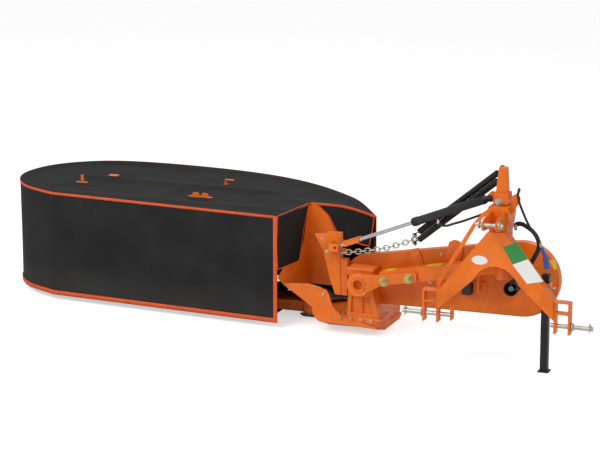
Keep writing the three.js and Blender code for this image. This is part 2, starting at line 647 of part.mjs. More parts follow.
function curtain() {
  const outer = coverEdge(0);
  const inner = coverEdge(FABRIC_T).reverse();
  const skirt = plateXY(shapeOf([...outer, ...inner]), CURTAIN_BOTTOM_Z, COVER_Z - FABRIC_T - FIT);
  // the inner rear corner ends above the cutter bar and its shoe
  return cut(skirt, block(-1330, -1000, 700, BAR_Y[1] + 40, 0, BAR_Z[1] + 40));
}

function topCover() {
  const edge = coverEdge(0);
  const outline = [...edge, [SHIELD_X, rearRight[1]]];
  return plateXY(shapeOf(outline), COVER_Z - FABRIC_T, COVER_Z);
}
piece('curtain', curtain(), FABRIC);
piece('top_cover', topCover(), FABRIC);

// cloth at the inner end: beside the divider, and hung across the rear corner
const panelX = SHIELD_X - FIT;
const panelOutline = [[391.8, 396], [694, 389], [731, 483], [838, shieldTop], [391.8, shieldTop]];
piece('side_panel', leaned(plateYZ(shapeOf(panelOutline), panelX - FABRIC_T, panelX)), FABRIC);
const flapY = DIVIDER_Y + SHIELD_T + FIT;
const flapOutline = [[-1512, shieldTop], [-1423, 675], [-1373, 583], [-1340, 520], [-1110, 499],
  [-1104, shieldTop]];
piece('rear_flap', plateXZ(shapeOf(flapOutline), flapY, flapY + FABRIC_T), FABRIC);

// ---------------------------------------------------------------- cover frame

function coverFrame() {
  const z = [COVER_Z - FABRIC_T - FIT - 30, COVER_Z - FABRIC_T - FIT];
  const rearY = DIVIDER_Y + 15;
  const frontEnd = Math.floor(panelX - FABRIC_T - FIT + dividerShift(575));
  const rearEnd = Math.floor(SHIELD_X + dividerShift(rearY) - FIT);
  const ring = cut(block(-3400, -1750, 575, 1120, ...z),
    block(-3370, -2590, 605, 1090, ...z.map((h, i) => h + 60 * i - 30)),
    block(-2560, -1780, 605, 1090, ...z.map((h, i) => h + 60 * i - 30)));
  return join(ring, block(-1760, frontEnd, 575, 603, ...z), block(-1760, rearEnd, rearY, rearY + 30, ...z));
}
function outerPost() {
  const x = barFarX - OUTER_SHOE_W;
  return block(x + 2, x + 10, 790, 870, 118 + FIT, 700);
}
function outerArm() {
  return block(barFarX - OUTER_SHOE_W + 2, -3375, 800, 860, 700 + FIT, COVER_Z - FABRIC_T - 30 - 2 * FIT);
}
// bent strips and a double round ear that come up through the cover
function coverTabs() {
  const z = COVER_Z + FIT;
  const strip = join(block(-3290, -3205, 846, 868, z, z + 4), block(-3252, -3230, 846, 852, z, z + 55));
  const pad = block(-3175, -3107, 1118, 1162, z, z + 5);
  const ears = [-2330, -2262].map((x) => plateXZ(shapeOf([[x - 26, z], [x - 26, z + 18], [x - 14, z + 30],
    [x + 14, z + 30], [x + 26, z + 18], [x + 26, z]]), 722, 728));
  const earBase = block(-2380, -2212, 716, 740, z, z + 4);
  const hook = join(block(-2308, -2280, 1150, 1172, z, z + 4), block(-2300, -2294, 1150, 1172, z, z + 36),
    block(-2300, -2235, 1150, 1172, z + 31, z + 36));
  return [strip, pad, join(earBase, ...ears), hook];
}
coverTabs().forEach((g, i) => piece(`cover_tab_${i + 1}`, g, ORANGE));
piece('cover_frame', coverFrame(), BLACK_PAINT);
piece('outer_post', outerPost(), ORANGE);
piece('outer_arm', outerArm(), BLACK_PAINT);

// ---------------------------------------------------------------- lift cylinder and balance springs

const vec = (p) => new THREE.Vector3(p.x, p.y, p.z);
const foot = vec(BARREL_PIN);
const head = vec(ROD_PIN);
const alongCylinder = head.clone().sub(foot).normalize();
const onCylinder = (distance) => foot.clone().addScaledVector(alongCylinder, distance).toArray();
const cylinderLength = foot.distanceTo(head);

function barrel() {
  const eye = rodY(KINGPIN_Y - EYE_T / 4, KINGPIN_Y + EYE_T / 4, foot.x, foot.z, 22, 24);
  const body = join(eye, bar(onCylinder(18), onCylinder(60), 9),
    bar(onCylinder(50), onCylinder(BARREL_LENGTH), BARREL_R, 24));
  return cut(body, rodY(0, 200, foot.x, foot.z, EYE_PIN_R + EYE_PLAY, 16),
    bar(onCylinder(90), onCylinder(BARREL_LENGTH + 10), ROD_R + 0.8, 24));
}
function rod() {
  const eye = rodY(head.y - EYE_T / 2 + 4, head.y + EYE_T / 2 - 4, head.x, head.z, 20, 24);
  const body = join(eye, bar(onCylinder(cylinderLength - 62), onCylinder(cylinderLength - 14), 9, 20),
    bar(onCylinder(cylinderLength - ROD_LENGTH), onCylinder(cylinderLength - 60), ROD_R, 24));
  return cut(body, rodY(300, 600, head.x, head.z, EYE_PIN_R + FIT, 16));
}
piece('lift_cylinder_barrel', barrel(), BLACK_PAINT);
piece('lift_cylinder_rod', rod(), CHROME);

// clamp on the rod, next to its eye
function rodLink() {
  const length = 130;
  const fromEye = 78;
  const along = new THREE.Quaternion().setFromUnitVectors(new THREE.Vector3(-1, 0, 0), alongCylinder);
  const middle = onCylinder(cylinderLength - fromEye - length / 2);
  const body = block(-length / 2, length / 2, -18, 18, -16, 16);
  const strip = block(-length / 2, length / 2, -22, 22, 15, 21);
  const clamp = cut(join(body, strip), rodX(-length, length, 0, 0, ROD_R + FIT, 24));
  return clamp.applyQuaternion(along).translate(...middle);
}
piece('rod_link', rodLink(), ORANGE);

// each spring hangs from its own pin and hooks onto the yoke of the chain
function spring(side) {
  const pin = vec(SPRING_PIN).add(new THREE.Vector3(0, 0, side < 0 ? -SPRING_DROP : 0));
  const end = vec(SPRING_END).add(new THREE.Vector3(0, 0, side * YOKE_SPREAD));
  const along = end.clone().sub(pin).normalize();
  const on = (point, distance) => point.clone().addScaledVector(along, distance).toArray();
  return join(
    bar(on(pin, SPRING_HOOK), on(end, -SPRING_HOOK), SPRING_R, 16),
    bar(on(pin, SPRING_PIN_R + 1), on(pin, SPRING_HOOK + 1), HOOK_R, 10),
    bar(on(end, -SPRING_HOOK - 1), on(end, -YOKE_R - YOKE_GAP), HOOK_R, 10));
}
piece('balance_spring_1', spring(1), BLACK_PAINT);
piece('balance_spring_2', spring(-1), BLACK_PAINT);

function chain() {
  const end = SPRING_END;
  const half = YOKE_SPREAD + YOKE_R;
  const yoke = bar([end.x, end.y, end.z + half], [end.x, end.y, end.z - half], YOKE_R, 12);
  const route = [[end.x, end.y, end.z], [-780, 385, 655], [-915, 450, 602],
    [-1010, 478, 556], [-1095, 482, 528], [CHAIN_END.x, CHAIN_END.y, CHAIN_END.z]];
  return join(yoke, tube(route, CHAIN_R, 24));
}
piece('chain', chain(), ZINC);

// hoses of the lift cylinder
const mastBack = 150 + FIT + HOSE_R;
const [portX, portY, portZ] = onCylinder(HOSE_PORT);
const portDrop = 1.19 * BARREL_R;
piece('cylinder_hose', tube([[portX, portY - 3, portZ - portDrop],
  [portX + 1, portY - 5, portZ - portDrop - 20], [-420, 200, 836], [-330, 180, 862],
  [-200, 172, 915], [-100, mastBack + 10, 960], [-40, mastBack, 978]], HOSE_R, 32), RUBBER);
piece('supply_hose', tube([[-22, mastBack, 978], [20, mastBack + 4, 1006], [56, mastBack + 2, 1056],
  [84, 146, 1104], [96, 112, 1126], [104, 70, 1128], [112, 34, 1094], [142, 42, 1000], [189, 52, 903],
  [236, 50, 845], [258, 38, 812], [265, 36, 793]],
HOSE_R, 40), RUBBER);
piece('return_hose', tube([[69 + FIT + HOSE_R, 106, 880], [80, 100, 910], [112, 98, 921], [155, 96, 905],
  [196, 96, 877], [229, 96, 830], [239, 94, 775], [221, 84, 726], [196, 66, 672], [176, 40, 614],
  [171, 0, 592], [170, -FRAME_DEPTH / 2 + SHEET + 2 * FIT, 592]], HOSE_R, 48), RUBBER);
piece('hose_coupler',
  join(bar([265.5, 36, 792], [291, 36, 731], 11, 16), bar([289, 36, 734], [303, 36, 664], 17, 20)), BLUE);

// breakaway latch between the headstock and the beam
const latchX = -legEndX + 67;
piece('breakaway_latch',
  block(latchX, latchX + 28, -FRAME_DEPTH / 2 + SHEET + FIT, BEAM_Y[0] - RUN, 482, 512), ORANGE);

// ---------------------------------------------------------------- placing

const box = new THREE.Box3().setFromObject(machine);
machine.position.set(-(box.min.x + box.max.x) / 2, -(box.min.y + box.max.y) / 2, -box.min.z);

export default machine;
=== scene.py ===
"""Disc mower: finishes, fabric cover, springs, chain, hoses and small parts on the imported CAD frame."""

import json
import math

import bmesh
import bpy
from bpy.props import FloatProperty, FloatVectorProperty, IntProperty, PointerProperty
from mathutils import Matrix, Vector
from mathutils.geometry import delaunay_2d_cdt, intersect_point_tri_2d

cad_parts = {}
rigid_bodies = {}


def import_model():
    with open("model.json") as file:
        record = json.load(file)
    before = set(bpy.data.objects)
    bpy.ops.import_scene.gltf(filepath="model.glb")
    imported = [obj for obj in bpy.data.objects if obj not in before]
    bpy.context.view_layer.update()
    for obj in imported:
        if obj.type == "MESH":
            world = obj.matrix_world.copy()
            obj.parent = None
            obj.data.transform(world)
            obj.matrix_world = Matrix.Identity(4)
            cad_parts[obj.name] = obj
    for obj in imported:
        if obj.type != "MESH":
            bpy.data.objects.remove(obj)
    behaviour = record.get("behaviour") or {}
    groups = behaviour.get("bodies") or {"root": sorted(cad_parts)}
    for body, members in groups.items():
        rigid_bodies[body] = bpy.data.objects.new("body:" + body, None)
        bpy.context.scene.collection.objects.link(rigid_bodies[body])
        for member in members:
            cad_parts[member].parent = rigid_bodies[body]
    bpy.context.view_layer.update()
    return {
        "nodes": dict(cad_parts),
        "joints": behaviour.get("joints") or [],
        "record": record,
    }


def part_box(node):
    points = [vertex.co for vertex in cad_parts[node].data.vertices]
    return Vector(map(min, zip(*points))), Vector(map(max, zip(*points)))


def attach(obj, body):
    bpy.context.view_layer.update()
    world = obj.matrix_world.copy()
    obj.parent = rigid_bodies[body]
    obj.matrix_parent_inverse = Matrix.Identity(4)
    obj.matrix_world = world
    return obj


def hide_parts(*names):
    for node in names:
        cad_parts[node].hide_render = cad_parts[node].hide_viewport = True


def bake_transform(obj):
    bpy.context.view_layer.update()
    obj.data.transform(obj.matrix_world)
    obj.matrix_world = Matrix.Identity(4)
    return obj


bl_info = {
    "name": "Disc mower",
    "version": (1, 0, 0),
    "blender": (4, 5, 0),
    "location": "3D View > Sidebar > Disc mower",
    "description": "Finishes and soft parts of a rear-mounted disc mower",
    "category": "Object",
}

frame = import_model()
JOINTS = {joint["name"]: joint for joint in frame["joints"]}
SLOT_OF = {part["node"]: part["material_slot"] for part in frame["record"]["subparts"]}


# ------------------------------------------------------------------ places taken from the frame


def box(node):
    """Lowest and highest corner of a CAD node, as vectors."""
    low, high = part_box(node)
    return Vector(low), Vector(high)


def middle(node):
    """Middle of a CAD node's box."""
    low, high = box(node)
    return (low + high) / 2


HITCH = Vector((middle("headstock_frame").x, middle("lower_pin_left").y, 0.0))


def from_hitch(x, y, z):
    """A point given in metres from the ground below the middle of the lower pins."""
    return HITCH + Vector((x, y, z))


# ------------------------------------------------------------------ node graphs


def linear(red, green, blue):
    """A screen colour of 0 to 255 a channel as linear values."""

    def channel(value):
        value /= 255
        return value / 12.92 if value <= 0.04045 else ((value + 0.055) / 1.055) ** 2.4

    return (channel(red), channel(green), channel(blue), 1.0)


def shaded(colour, factor, lift=0.0):
    """A linear colour made darker or lighter, with a share of white added."""
    return tuple([min(1.0, c * factor + lift) for c in colour[:3]] + [1.0])


class Signal:
    """One output of a node. Sums and products of signals add their Math nodes."""

    def __init__(self, graph, socket):
        self.graph = graph
        self.socket = socket

    def _math(self, operation, *values):
        return self.graph.add("ShaderNodeMath", values, operation=operation)

    def __add__(self, other):
        return self._math("ADD", self, other)

    __radd__ = __add__

    def __sub__(self, other):
        return self._math("SUBTRACT", self, other)

    def __rsub__(self, other):
        return self._math("SUBTRACT", other, self)

    def __mul__(self, other):
        return self._math("MULTIPLY", self, other)

    __rmul__ = __mul__

    def __truediv__(self, other):
        return self._math("DIVIDE", self, other)

    def __rtruediv__(self, other):
        return self._math("DIVIDE", other, self)

    def __pow__(self, other):
        return self._math("POWER", self, other)

    def __mod__(self, other):
        return self._math("FLOORED_MODULO", self, other)

    def __gt__(self, other):
        return self._math("GREATER_THAN", self, other)

    def __lt__(self, other):
        return self._math("LESS_THAN", self, other)

    def clamped(self):
        """The same value held between 0 and 1."""
        node = self._math("ADD", self, 0.0)
        node.socket.node.use_clamp = True
        return node

    def sine(self):
        """The sine of the value, in radians."""
        return self._math("SINE", self)


class Graph:
    """Adds nodes to a shader tree or a geometry tree."""

    def __init__(self, tree):
        self.tree = tree

    def add(self, kind, values=(), out=0, ramp=None, **settings):
        """A node of a type: its settings first, then its sockets by place or name; gives one output."""
        node = self.tree.nodes.new(kind)
        for name, value in settings.items():
            setattr(node, name, value)
        if ramp:
            while len(node.color_ramp.elements) < len(ramp):
                node.color_ramp.elements.new(1.0)
            for element, (place, colour) in zip(node.color_ramp.elements, ramp):
                element.position = place
                element.color = colour
        pairs = values.items() if isinstance(values, dict) else enumerate(values)
        for key, value in pairs:
            self.feed(node.inputs[key], value)
        return Signal(self, node.outputs[out]) if len(node.outputs) else node

    def feed(self, socket, value):
        """Links a signal to a socket, or sets its value."""
        if isinstance(value, Signal):
            self.tree.links.new(value.socket, socket)
        else:
            socket.default_value = value

    def mix(self, first, second, factor):
        """A colour between two colours."""
        return self.add(
            "ShaderNodeMix", {0: factor, 6: first, 7: second}, out=2, data_type="RGBA"
        )

    def noise(self, place, scale, detail=2.0, roughness=0.5, distortion=0.0):
        """A grey noise value."""
        values = {
            "Vector": place,
            "Scale": scale,
            "Detail": detail,
            "Roughness": roughness,
            "Distortion": distortion,
        }
        return self.add("ShaderNodeTexNoise", values)

    def band(self, value, low, high):
        """0 below low, 1 above high, smooth between."""
        values = {"Value": value, "From Min": low, "From Max": high}
        return self.add("ShaderNodeMapRange", values, interpolation_type="SMOOTHSTEP")


# ------------------------------------------------------------------ finishes


def finish(name, colour, roughness, metallic=0.0, **constants):
    """A material whose shader has its constants set; gives the material, its graph and its shader."""
    material = bpy.data.materials.new(name)
    material.use_nodes = True
    tree = material.node_tree
    shader = tree.nodes["Principled BSDF"]
    shader.inputs["Base Color"].default_value = colour
    shader.inputs["Roughness"].default_value = roughness
    shader.inputs["Metallic"].default_value = metallic
    for label, value in constants.items():
        shader.inputs[label.replace("_", " ")].default_value = value
    material.diffuse_color = colour
    return material, Graph(tree), shader


def object_place(graph):
    """Object coordinates, in metres in the machine's own frame."""
    return graph.add("ShaderNodeTexCoord", out="Object")


def relief(graph, shader, height, distance, strength=1.0, edge=0.0):
    """Feeds a height to the shader's normal, with softly rounded edges."""
    values = {"Strength": strength, "Distance": distance, "Height": height}
    if edge:
        values["Normal"] = graph.add("ShaderNodeBevel", {"Radius": edge}, samples=4)
    graph.feed(shader.inputs["Normal"], graph.add("ShaderNodeBump", values))


def worn_edges(graph, place, low=0.54, high=0.66):
    """A mask of sharp outer edges, broken up by noise."""
    sharp = graph.add("ShaderNodeNewGeometry", out="Pointiness")
    return graph.band(sharp + graph.noise(place, 60.0, 3.0) * 0.08 - 0.04, low, high)


def paint_finish(name, colour, roughness=0.36, dusting=0.3):
    """Powder coat: fine orange peel, faint cloudiness, dust low down and pale worn edges."""
    material, graph, shader = finish(
        name, colour, roughness, Coat_Weight=0.08, Coat_Roughness=0.2, Specular_IOR_Level=0.32
    )
    place = object_place(graph)
    cloud = graph.noise(place, 5.0, 4.0, 0.6)
    height = graph.add("ShaderNodeSeparateXYZ", [place], out="Z")
    dark = shaded(colour, 0.82)
    light = shaded(colour, 1.12, 0.004)
    body = graph.mix(dark, light, graph.band(cloud, 0.3, 0.7))
    dust = (1 - graph.band(height, 0.02, 0.35)) * graph.band(graph.noise(place, 38.0, 4.0, 0.7), 0.42, 0.7)
    dusty = graph.mix(body, linear(176, 150, 122), dust * dusting)
    worn = worn_edges(graph, place)
    bare = shaded(colour, 1.25, 0.05)
    graph.feed(shader.inputs["Base Color"], graph.mix(dusty, bare, worn * 0.45))
    grain = graph.noise(place, 420.0, 2.0)
    graph.feed(shader.inputs["Roughness"], roughness - 0.05 + grain * 0.1 + dust * 0.25)
    relief(graph, shader, grain, 0.0003, 0.35, edge=0.0016)
    return material


def metal_finish(name, colour, roughness, tint, scale=30.0, streak=1.0):
    """Bare or plated metal: cloudy plating, fine scratches along one way."""
    material, graph, shader = finish(name, colour, roughness, 0.92)
    place = object_place(graph)
    stretched = graph.add("ShaderNodeMapping", {"Vector": place, "Scale": (streak, 1.0, streak)})
    cloud = graph.noise(place, scale, 4.0, 0.65)
    scratch = graph.noise(stretched, 240.0, 3.0, 0.7)
    graph.feed(shader.inputs["Base Color"], graph.mix(colour, tint, graph.band(cloud, 0.35, 0.7)))
    graph.feed(shader.inputs["Roughness"], roughness - 0.06 + scratch * 0.16 + cloud * 0.06)
    relief(graph, shader, scratch, 0.0002, 0.3, edge=0.0008)
    return material


def rubber_finish(name, colour, roughness=0.62):
    """Black rubber or moulded plastic with a fine grain."""
    material, graph, shader = finish(name, colour, roughness)
    place = object_place(graph)
    grain = graph.noise(place, 700.0, 3.0)
    bloom = graph.band(graph.noise(place, 14.0, 4.0, 0.6), 0.4, 0.75)
    pale = shaded(colour, 1.8, 0.006)
    graph.feed(shader.inputs["Base Color"], graph.mix(colour, pale, bloom * 0.5))
    graph.feed(shader.inputs["Roughness"], roughness + bloom * 0.12)
    relief(graph, shader, grain, 0.0002, 0.4)
    return material


def fabric_finish(name, colour, thread=0.0016):
    """Coated cloth: crossed threads, soft creases, dust towards the hem."""
    material, graph, shader = finish(name, colour, 0.78, Specular_IOR_Level=0.22)
    place = object_place(graph)
    along = graph.add("ShaderNodeUVMap", uv_map="cloth")
    parts = graph.tree.nodes.new("ShaderNodeSeparateXYZ")
    graph.feed(parts.inputs[0], along)
    u = Signal(graph, parts.outputs[0])
    v = Signal(graph, parts.outputs[1])
    turn = 2 * math.pi / thread
    weave = (u * turn).sine() * (v * turn).sine()
    cloud = graph.noise(place, 3.2, 5.0, 0.6)
    crease = graph.noise(place, 9.0, 3.0, 0.55, 0.6)
    speck = graph.band(graph.noise(place, 160.0, 3.0, 0.7), 0.62, 0.8)
    pale = shaded(colour, 1.45, 0.004)
    body = graph.mix(colour, pale, graph.band(cloud, 0.35, 0.72))
    height = graph.add("ShaderNodeSeparateXYZ", [place], out="Z")
    dust = (1 - graph.band(height, 0.03, 0.3)) * 0.10 + speck * 0.05
    graph.feed(shader.inputs["Base Color"], graph.mix(body, linear(120, 112, 100), dust))
    graph.feed(shader.inputs["Roughness"], 0.72 + cloud * 0.12)
    relief(graph, shader, weave * 0.06 + crease, 0.004, 0.35)
    return material


def binding_finish(name, colour):
    """Orange edging tape with ribs across it."""
    material, graph, shader = finish(name, colour, 0.6)
    place = object_place(graph)
    values = {"Vector": place, "Scale": 260.0, "Distortion": 0.4}
    rib = graph.add("ShaderNodeTexWave", values, bands_direction="DIAGONAL")
    cloud = graph.noise(place, 24.0, 4.0)
    ribbed = graph.band(cloud + rib * 0.25, 0.35, 0.75)
    graph.feed(shader.inputs["Base Color"], graph.mix(shaded(colour, 0.74), colour, ribbed))
    relief(graph, shader, rib, 0.0006, 0.5)
    return material


def film_finish(name, colour):
    """A glossy blank sticker with slight scuffs."""
    material, graph, shader = finish(name, colour, 0.3)
    place = object_place(graph)
    scuff = graph.band(graph.noise(place, 90.0, 5.0, 0.7), 0.55, 0.75)
    dull = shaded(colour, 0.8)
    graph.feed(shader.inputs["Base Color"], graph.mix(colour, dull, scuff * 0.5))
    graph.feed(shader.inputs["Roughness"], 0.28 + scuff * 0.3)
    return material


FINISHES = {}


def make_finishes(colours):
    """Makes each finish once."""
    FINISHES.update(
        orange_paint=paint_finish("orange_paint", tuple(colours.orange)),
        black_paint=paint_finish("black_paint", tuple(colours.black), 0.4, 0.0),
        zinc=metal_finish("zinc", linear(206, 204, 196), 0.34, linear(178, 172, 150)),
        yellow_zinc=metal_finish("yellow_zinc", linear(212, 198, 142), 0.34, linear(190, 166, 98)),
        chrome=metal_finish("chrome", linear(216, 218, 222), 0.12, linear(196, 200, 208), streak=0.1),
        bare_steel=metal_finish("bare_steel", linear(150, 150, 152), 0.4, linear(104, 98, 92), 12.0),
        cover_fabric=fabric_finish("cover_fabric", tuple(colours.fabric)),
        black_rubber=rubber_finish("black_rubber", linear(30, 30, 31)),
        blue_plastic=rubber_finish("blue_plastic", linear(34, 78, 150), 0.42),
        orange_tape=binding_finish("orange_tape", tuple(colours.tape)),
        yellow_film=film_finish("yellow_film", linear(238, 200, 44)),
        white_film=film_finish("white_film", linear(236, 236, 232)),
        green_film=film_finish("green_film", linear(48, 140, 62)),
    )


# ------------------------------------------------------------------ pieces


def show(name, mesh, finish_name, body, smooth=True):
    """Shows a mesh as a piece that rides on a body, or on none when no body is given."""
    piece = bpy.data.objects.new(name, mesh)
    bpy.context.scene.collection.objects.link(piece)
    if not mesh.materials:
        mesh.materials.append(FINISHES[finish_name])
    if smooth:
        mesh.shade_smooth()
    if body:
        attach(piece, body)
    return piece


def mesh_from(name, vertices, faces):
    """A mesh with its normals turned outwards."""
    mesh = bpy.data.meshes.new(name)
    mesh.from_pydata([tuple(v) for v in vertices], [], faces)
    shell = bmesh.new()
    shell.from_mesh(mesh)
    bmesh.ops.recalc_face_normals(shell, faces=shell.faces)
    shell.to_mesh(mesh)
    shell.free()
    return mesh


def joined(name, meshes):
    """One mesh made of several."""
    shell = bmesh.new()
    for mesh in meshes:
        shell.from_mesh(mesh)
        bpy.data.meshes.remove(mesh)
    result = bpy.data.meshes.new(name)
    shell.to_mesh(result)
    shell.free()
    return result


def frame_along(direction, up=Vector((0, 0, 1))):
    """A turn whose Z axis lies along a direction and whose X axis stays as level as it can."""
    nearly_along = 0.98
    z = direction.normalized()
    if abs(z.dot(up)) > nearly_along:
        up = Vector((0, 1, 0))
    x = up.cross(z).normalized()
    y = z.cross(x)
    return Matrix((x, y, z)).transposed().to_4x4()


def turned(name, profile, start, direction, sides=32):
    """A shape turned about an axis, from (distance along, radius) pairs."""
    place = Matrix.Translation(start) @ frame_along(direction)
    vertices = []
    faces = []
    for along, radius in profile:
        for k in range(sides):
            a = 2 * math.pi * k / sides
            vertices.append(place @ Vector((radius * math.cos(a), radius * math.sin(a), along)))
    last = (len(profile) - 1) * sides
    for ring in range(0, last, sides):
        for k in range(sides):
            n = (k + 1) % sides
            faces.append((ring + k, ring + n, ring + sides + n, ring + sides + k))
    faces.append(tuple(reversed(range(sides))))
    faces.append(tuple(last + k for k in range(sides)))
    return mesh_from(name, vertices, faces)


def plate(name, outline, thickness, place, bevel=0.0):
    """A flat plate of an outline, with its back face on the plane of a placing matrix."""
    shell = bmesh.new()
    corners = [shell.verts.new((x, y, 0.0)) for x, y in outline]
    face = shell.faces.new(corners)
    shell.normal_update()
    if face.normal.z < 0:
        face.normal_flip()
    lifted = bmesh.ops.extrude_face_region(shell, geom=[face])
    top = [v for v in lifted["geom"] if isinstance(v, bmesh.types.BMVert)]
    bmesh.ops.translate(shell, verts=top, vec=(0, 0, thickness))
    bmesh.ops.recalc_face_normals(shell, faces=shell.faces)
    if bevel:
        rim = [e for e in shell.edges if all(v.co.z > thickness / 2 for v in e.verts)]
        bmesh.ops.bevel(shell, geom=rim, offset=bevel, segments=2, affect="EDGES")
    shell.transform(place)
    mesh = bpy.data.meshes.new(name)
    shell.to_mesh(mesh)
    shell.free()
    return mesh


def rounded(width, height, radius, steps=4):
    """Outline of a rectangle with round corners."""
    points = []
    for quarter, (sx, sy) in enumerate(((1, 1), (-1, 1), (-1, -1), (1, -1))):
        for k in range(steps + 1):
            a = math.pi / 2 * (quarter + k / steps)
            x = sx * (width / 2 - radius) + radius * math.cos(a)
            y = sy * (height / 2 - radius) + radius * math.sin(a)
            points.append((x, y))
    return points


def grid_faces(across, deep):
    """Faces of a sheet whose vertices are listed column by column."""
    faces = []
    for i in range(across):
        for j in range(deep):
            a = i * (deep + 1) + j
            faces.append((a, a + 1, a + deep + 2, a + deep + 1))
    return faces


def whole_turn(steps=24):
    """Angles once round, with the first one again at the end."""
    return [2 * math.pi * k / steps for k in range(steps + 1)]


def oval(width, height, steps=28):
    """Outline of an ellipse."""
    turn = 2 * math.pi / steps
    return [(width / 2 * math.cos(turn * k), height / 2 * math.sin(turn * k)) for k in range(steps)]


# ------------------------------------------------------------------ geometry nodes


class Maker:
    """A geometry tree with named inputs, run on an object and turned into a plain mesh."""

    KINDS = {float: "NodeSocketFloat", int: "NodeSocketInt"}

    def __init__(self, name, sizes):
        self.tree = bpy.data.node_groups.new(name, "GeometryNodeTree")
        self.graph = Graph(self.tree)
        face = self.tree.interface
        face.new_socket("Geometry", in_out="INPUT", socket_type="NodeSocketGeometry")
        self.ids = {}
        for label, value in sizes.items():
            socket = face.new_socket(label, in_out="INPUT", socket_type=self.KINDS[type(value)])
            socket.default_value = value
            self.ids[label] = socket.identifier
        face.new_socket("Geometry", in_out="OUTPUT", socket_type="NodeSocketGeometry")
        self.source = self.tree.nodes.new("NodeGroupInput")
        self.sizes = dict(sizes)

    def size(self, label):
        """The signal of a named input."""
        return Signal(self.graph, self.source.outputs[label])

    def geometry(self):
        """The signal of the geometry that the tree runs on."""
        return Signal(self.graph, self.source.outputs["Geometry"])

    def end(self, geometry):
        """Ends the tree in Realize Instances and Set Material."""
        real = self.graph.add("GeometryNodeRealizeInstances", [geometry])
        self.painter = self.graph.add("GeometryNodeSetMaterial", {"Geometry": real})
        sink = self.tree.nodes.new("NodeGroupOutput")
        self.tree.links.new(self.painter.socket, sink.inputs["Geometry"])
        return self

    def run(self, source, finish_name, **sizes):
        """The mesh that the tree makes of an object; the object is removed."""
        self.painter.socket.node.inputs["Material"].default_value = FINISHES[finish_name]
        bpy.context.scene.collection.objects.link(source)
        modifier = source.modifiers.new("maker", "NODES")
        modifier.node_group = self.tree
        for label, value in {**self.sizes, **sizes}.items():
            modifier[self.ids[label]] = value
        graph = bpy.context.evaluated_depsgraph_get()
        mesh = bpy.data.meshes.new_from_object(source.evaluated_get(graph))
        source.modifiers.remove(modifier)
        bpy.data.objects.remove(source)
        if not len(mesh.polygons):
            raise RuntimeError(f"{self.tree.name} made no faces")
        return mesh


def path_object(points, closed=False, smooth=True):
    """A curve object through points."""
    curve = bpy.data.curves.new("path", "CURVE")
    curve.dimensions = "3D"
    spline = curve.splines.new("BEZIER" if smooth else "POLY")
    if smooth:
        spline.bezier_points.add(len(points) - 1)
        for knot, point in zip(spline.bezier_points, points):
            knot.co = point
            knot.handle_left_type = knot.handle_right_type = "AUTO"
        spline.resolution_u = 8
    else:
        spline.points.add(len(points) - 1)
        for knot, point in zip(spline.points, points):
            knot.co = (*point, 1.0)
    spline.use_cyclic_u = closed
    return bpy.data.objects.new("path", curve)


def hose_maker():
    """Sweeps a round section along a path."""
    maker = Maker("hose", {"Radius": 0.008, "Sides": 16})
    graph = maker.graph
    values = {"Resolution": maker.size("Sides"), "Radius": maker.size("Radius")}
    section = graph.add("GeometryNodeCurvePrimitiveCircle", values)
    values = {"Curve": maker.geometry(), "Profile Curve": section, "Fill Caps": True}
    return maker.end(graph.add("GeometryNodeCurveToMesh", values))


def tape_maker():
    """Sweeps a flat upright section along a path."""
    maker = Maker("tape", {"Thickness": 0.002, "Width": 0.02})
    graph = maker.graph
    upright = graph.add("GeometryNodeSetCurveNormal", {"Curve": maker.geometry()}, mode="Z_UP")
    values = {"Width": maker.size("Thickness"), "Height": maker.size("Width")}
    section = graph.add("GeometryNodeCurvePrimitiveQuadrilateral", values)
    values = {"Curve": upright, "Profile Curve": section, "Fill Caps": True}
    return maker.end(graph.add("GeometryNodeCurveToMesh", values))


def coil_maker():
    """A close-wound coil that stands on the origin along Z."""
    maker = Maker("coil", {"Radius": 0.015, "Wire": 0.003, "Height": 0.6, "Turns": 90.0})
    graph = maker.graph
    values = {
        "Resolution": 12,
        "Rotations": maker.size("Turns"),
        "Start Radius": maker.size("Radius"),
        "End Radius": maker.size("Radius"),
        "Height": maker.size("Height"),
    }
    spiral = graph.add("GeometryNodeCurveSpiral", values)
    values = {"Resolution": 6, "Radius": maker.size("Wire")}
    section = graph.add("GeometryNodeCurvePrimitiveCircle", values)
    values = {"Curve": spiral, "Profile Curve": section, "Fill Caps": True}
    return maker.end(graph.add("GeometryNodeCurveToMesh", values))


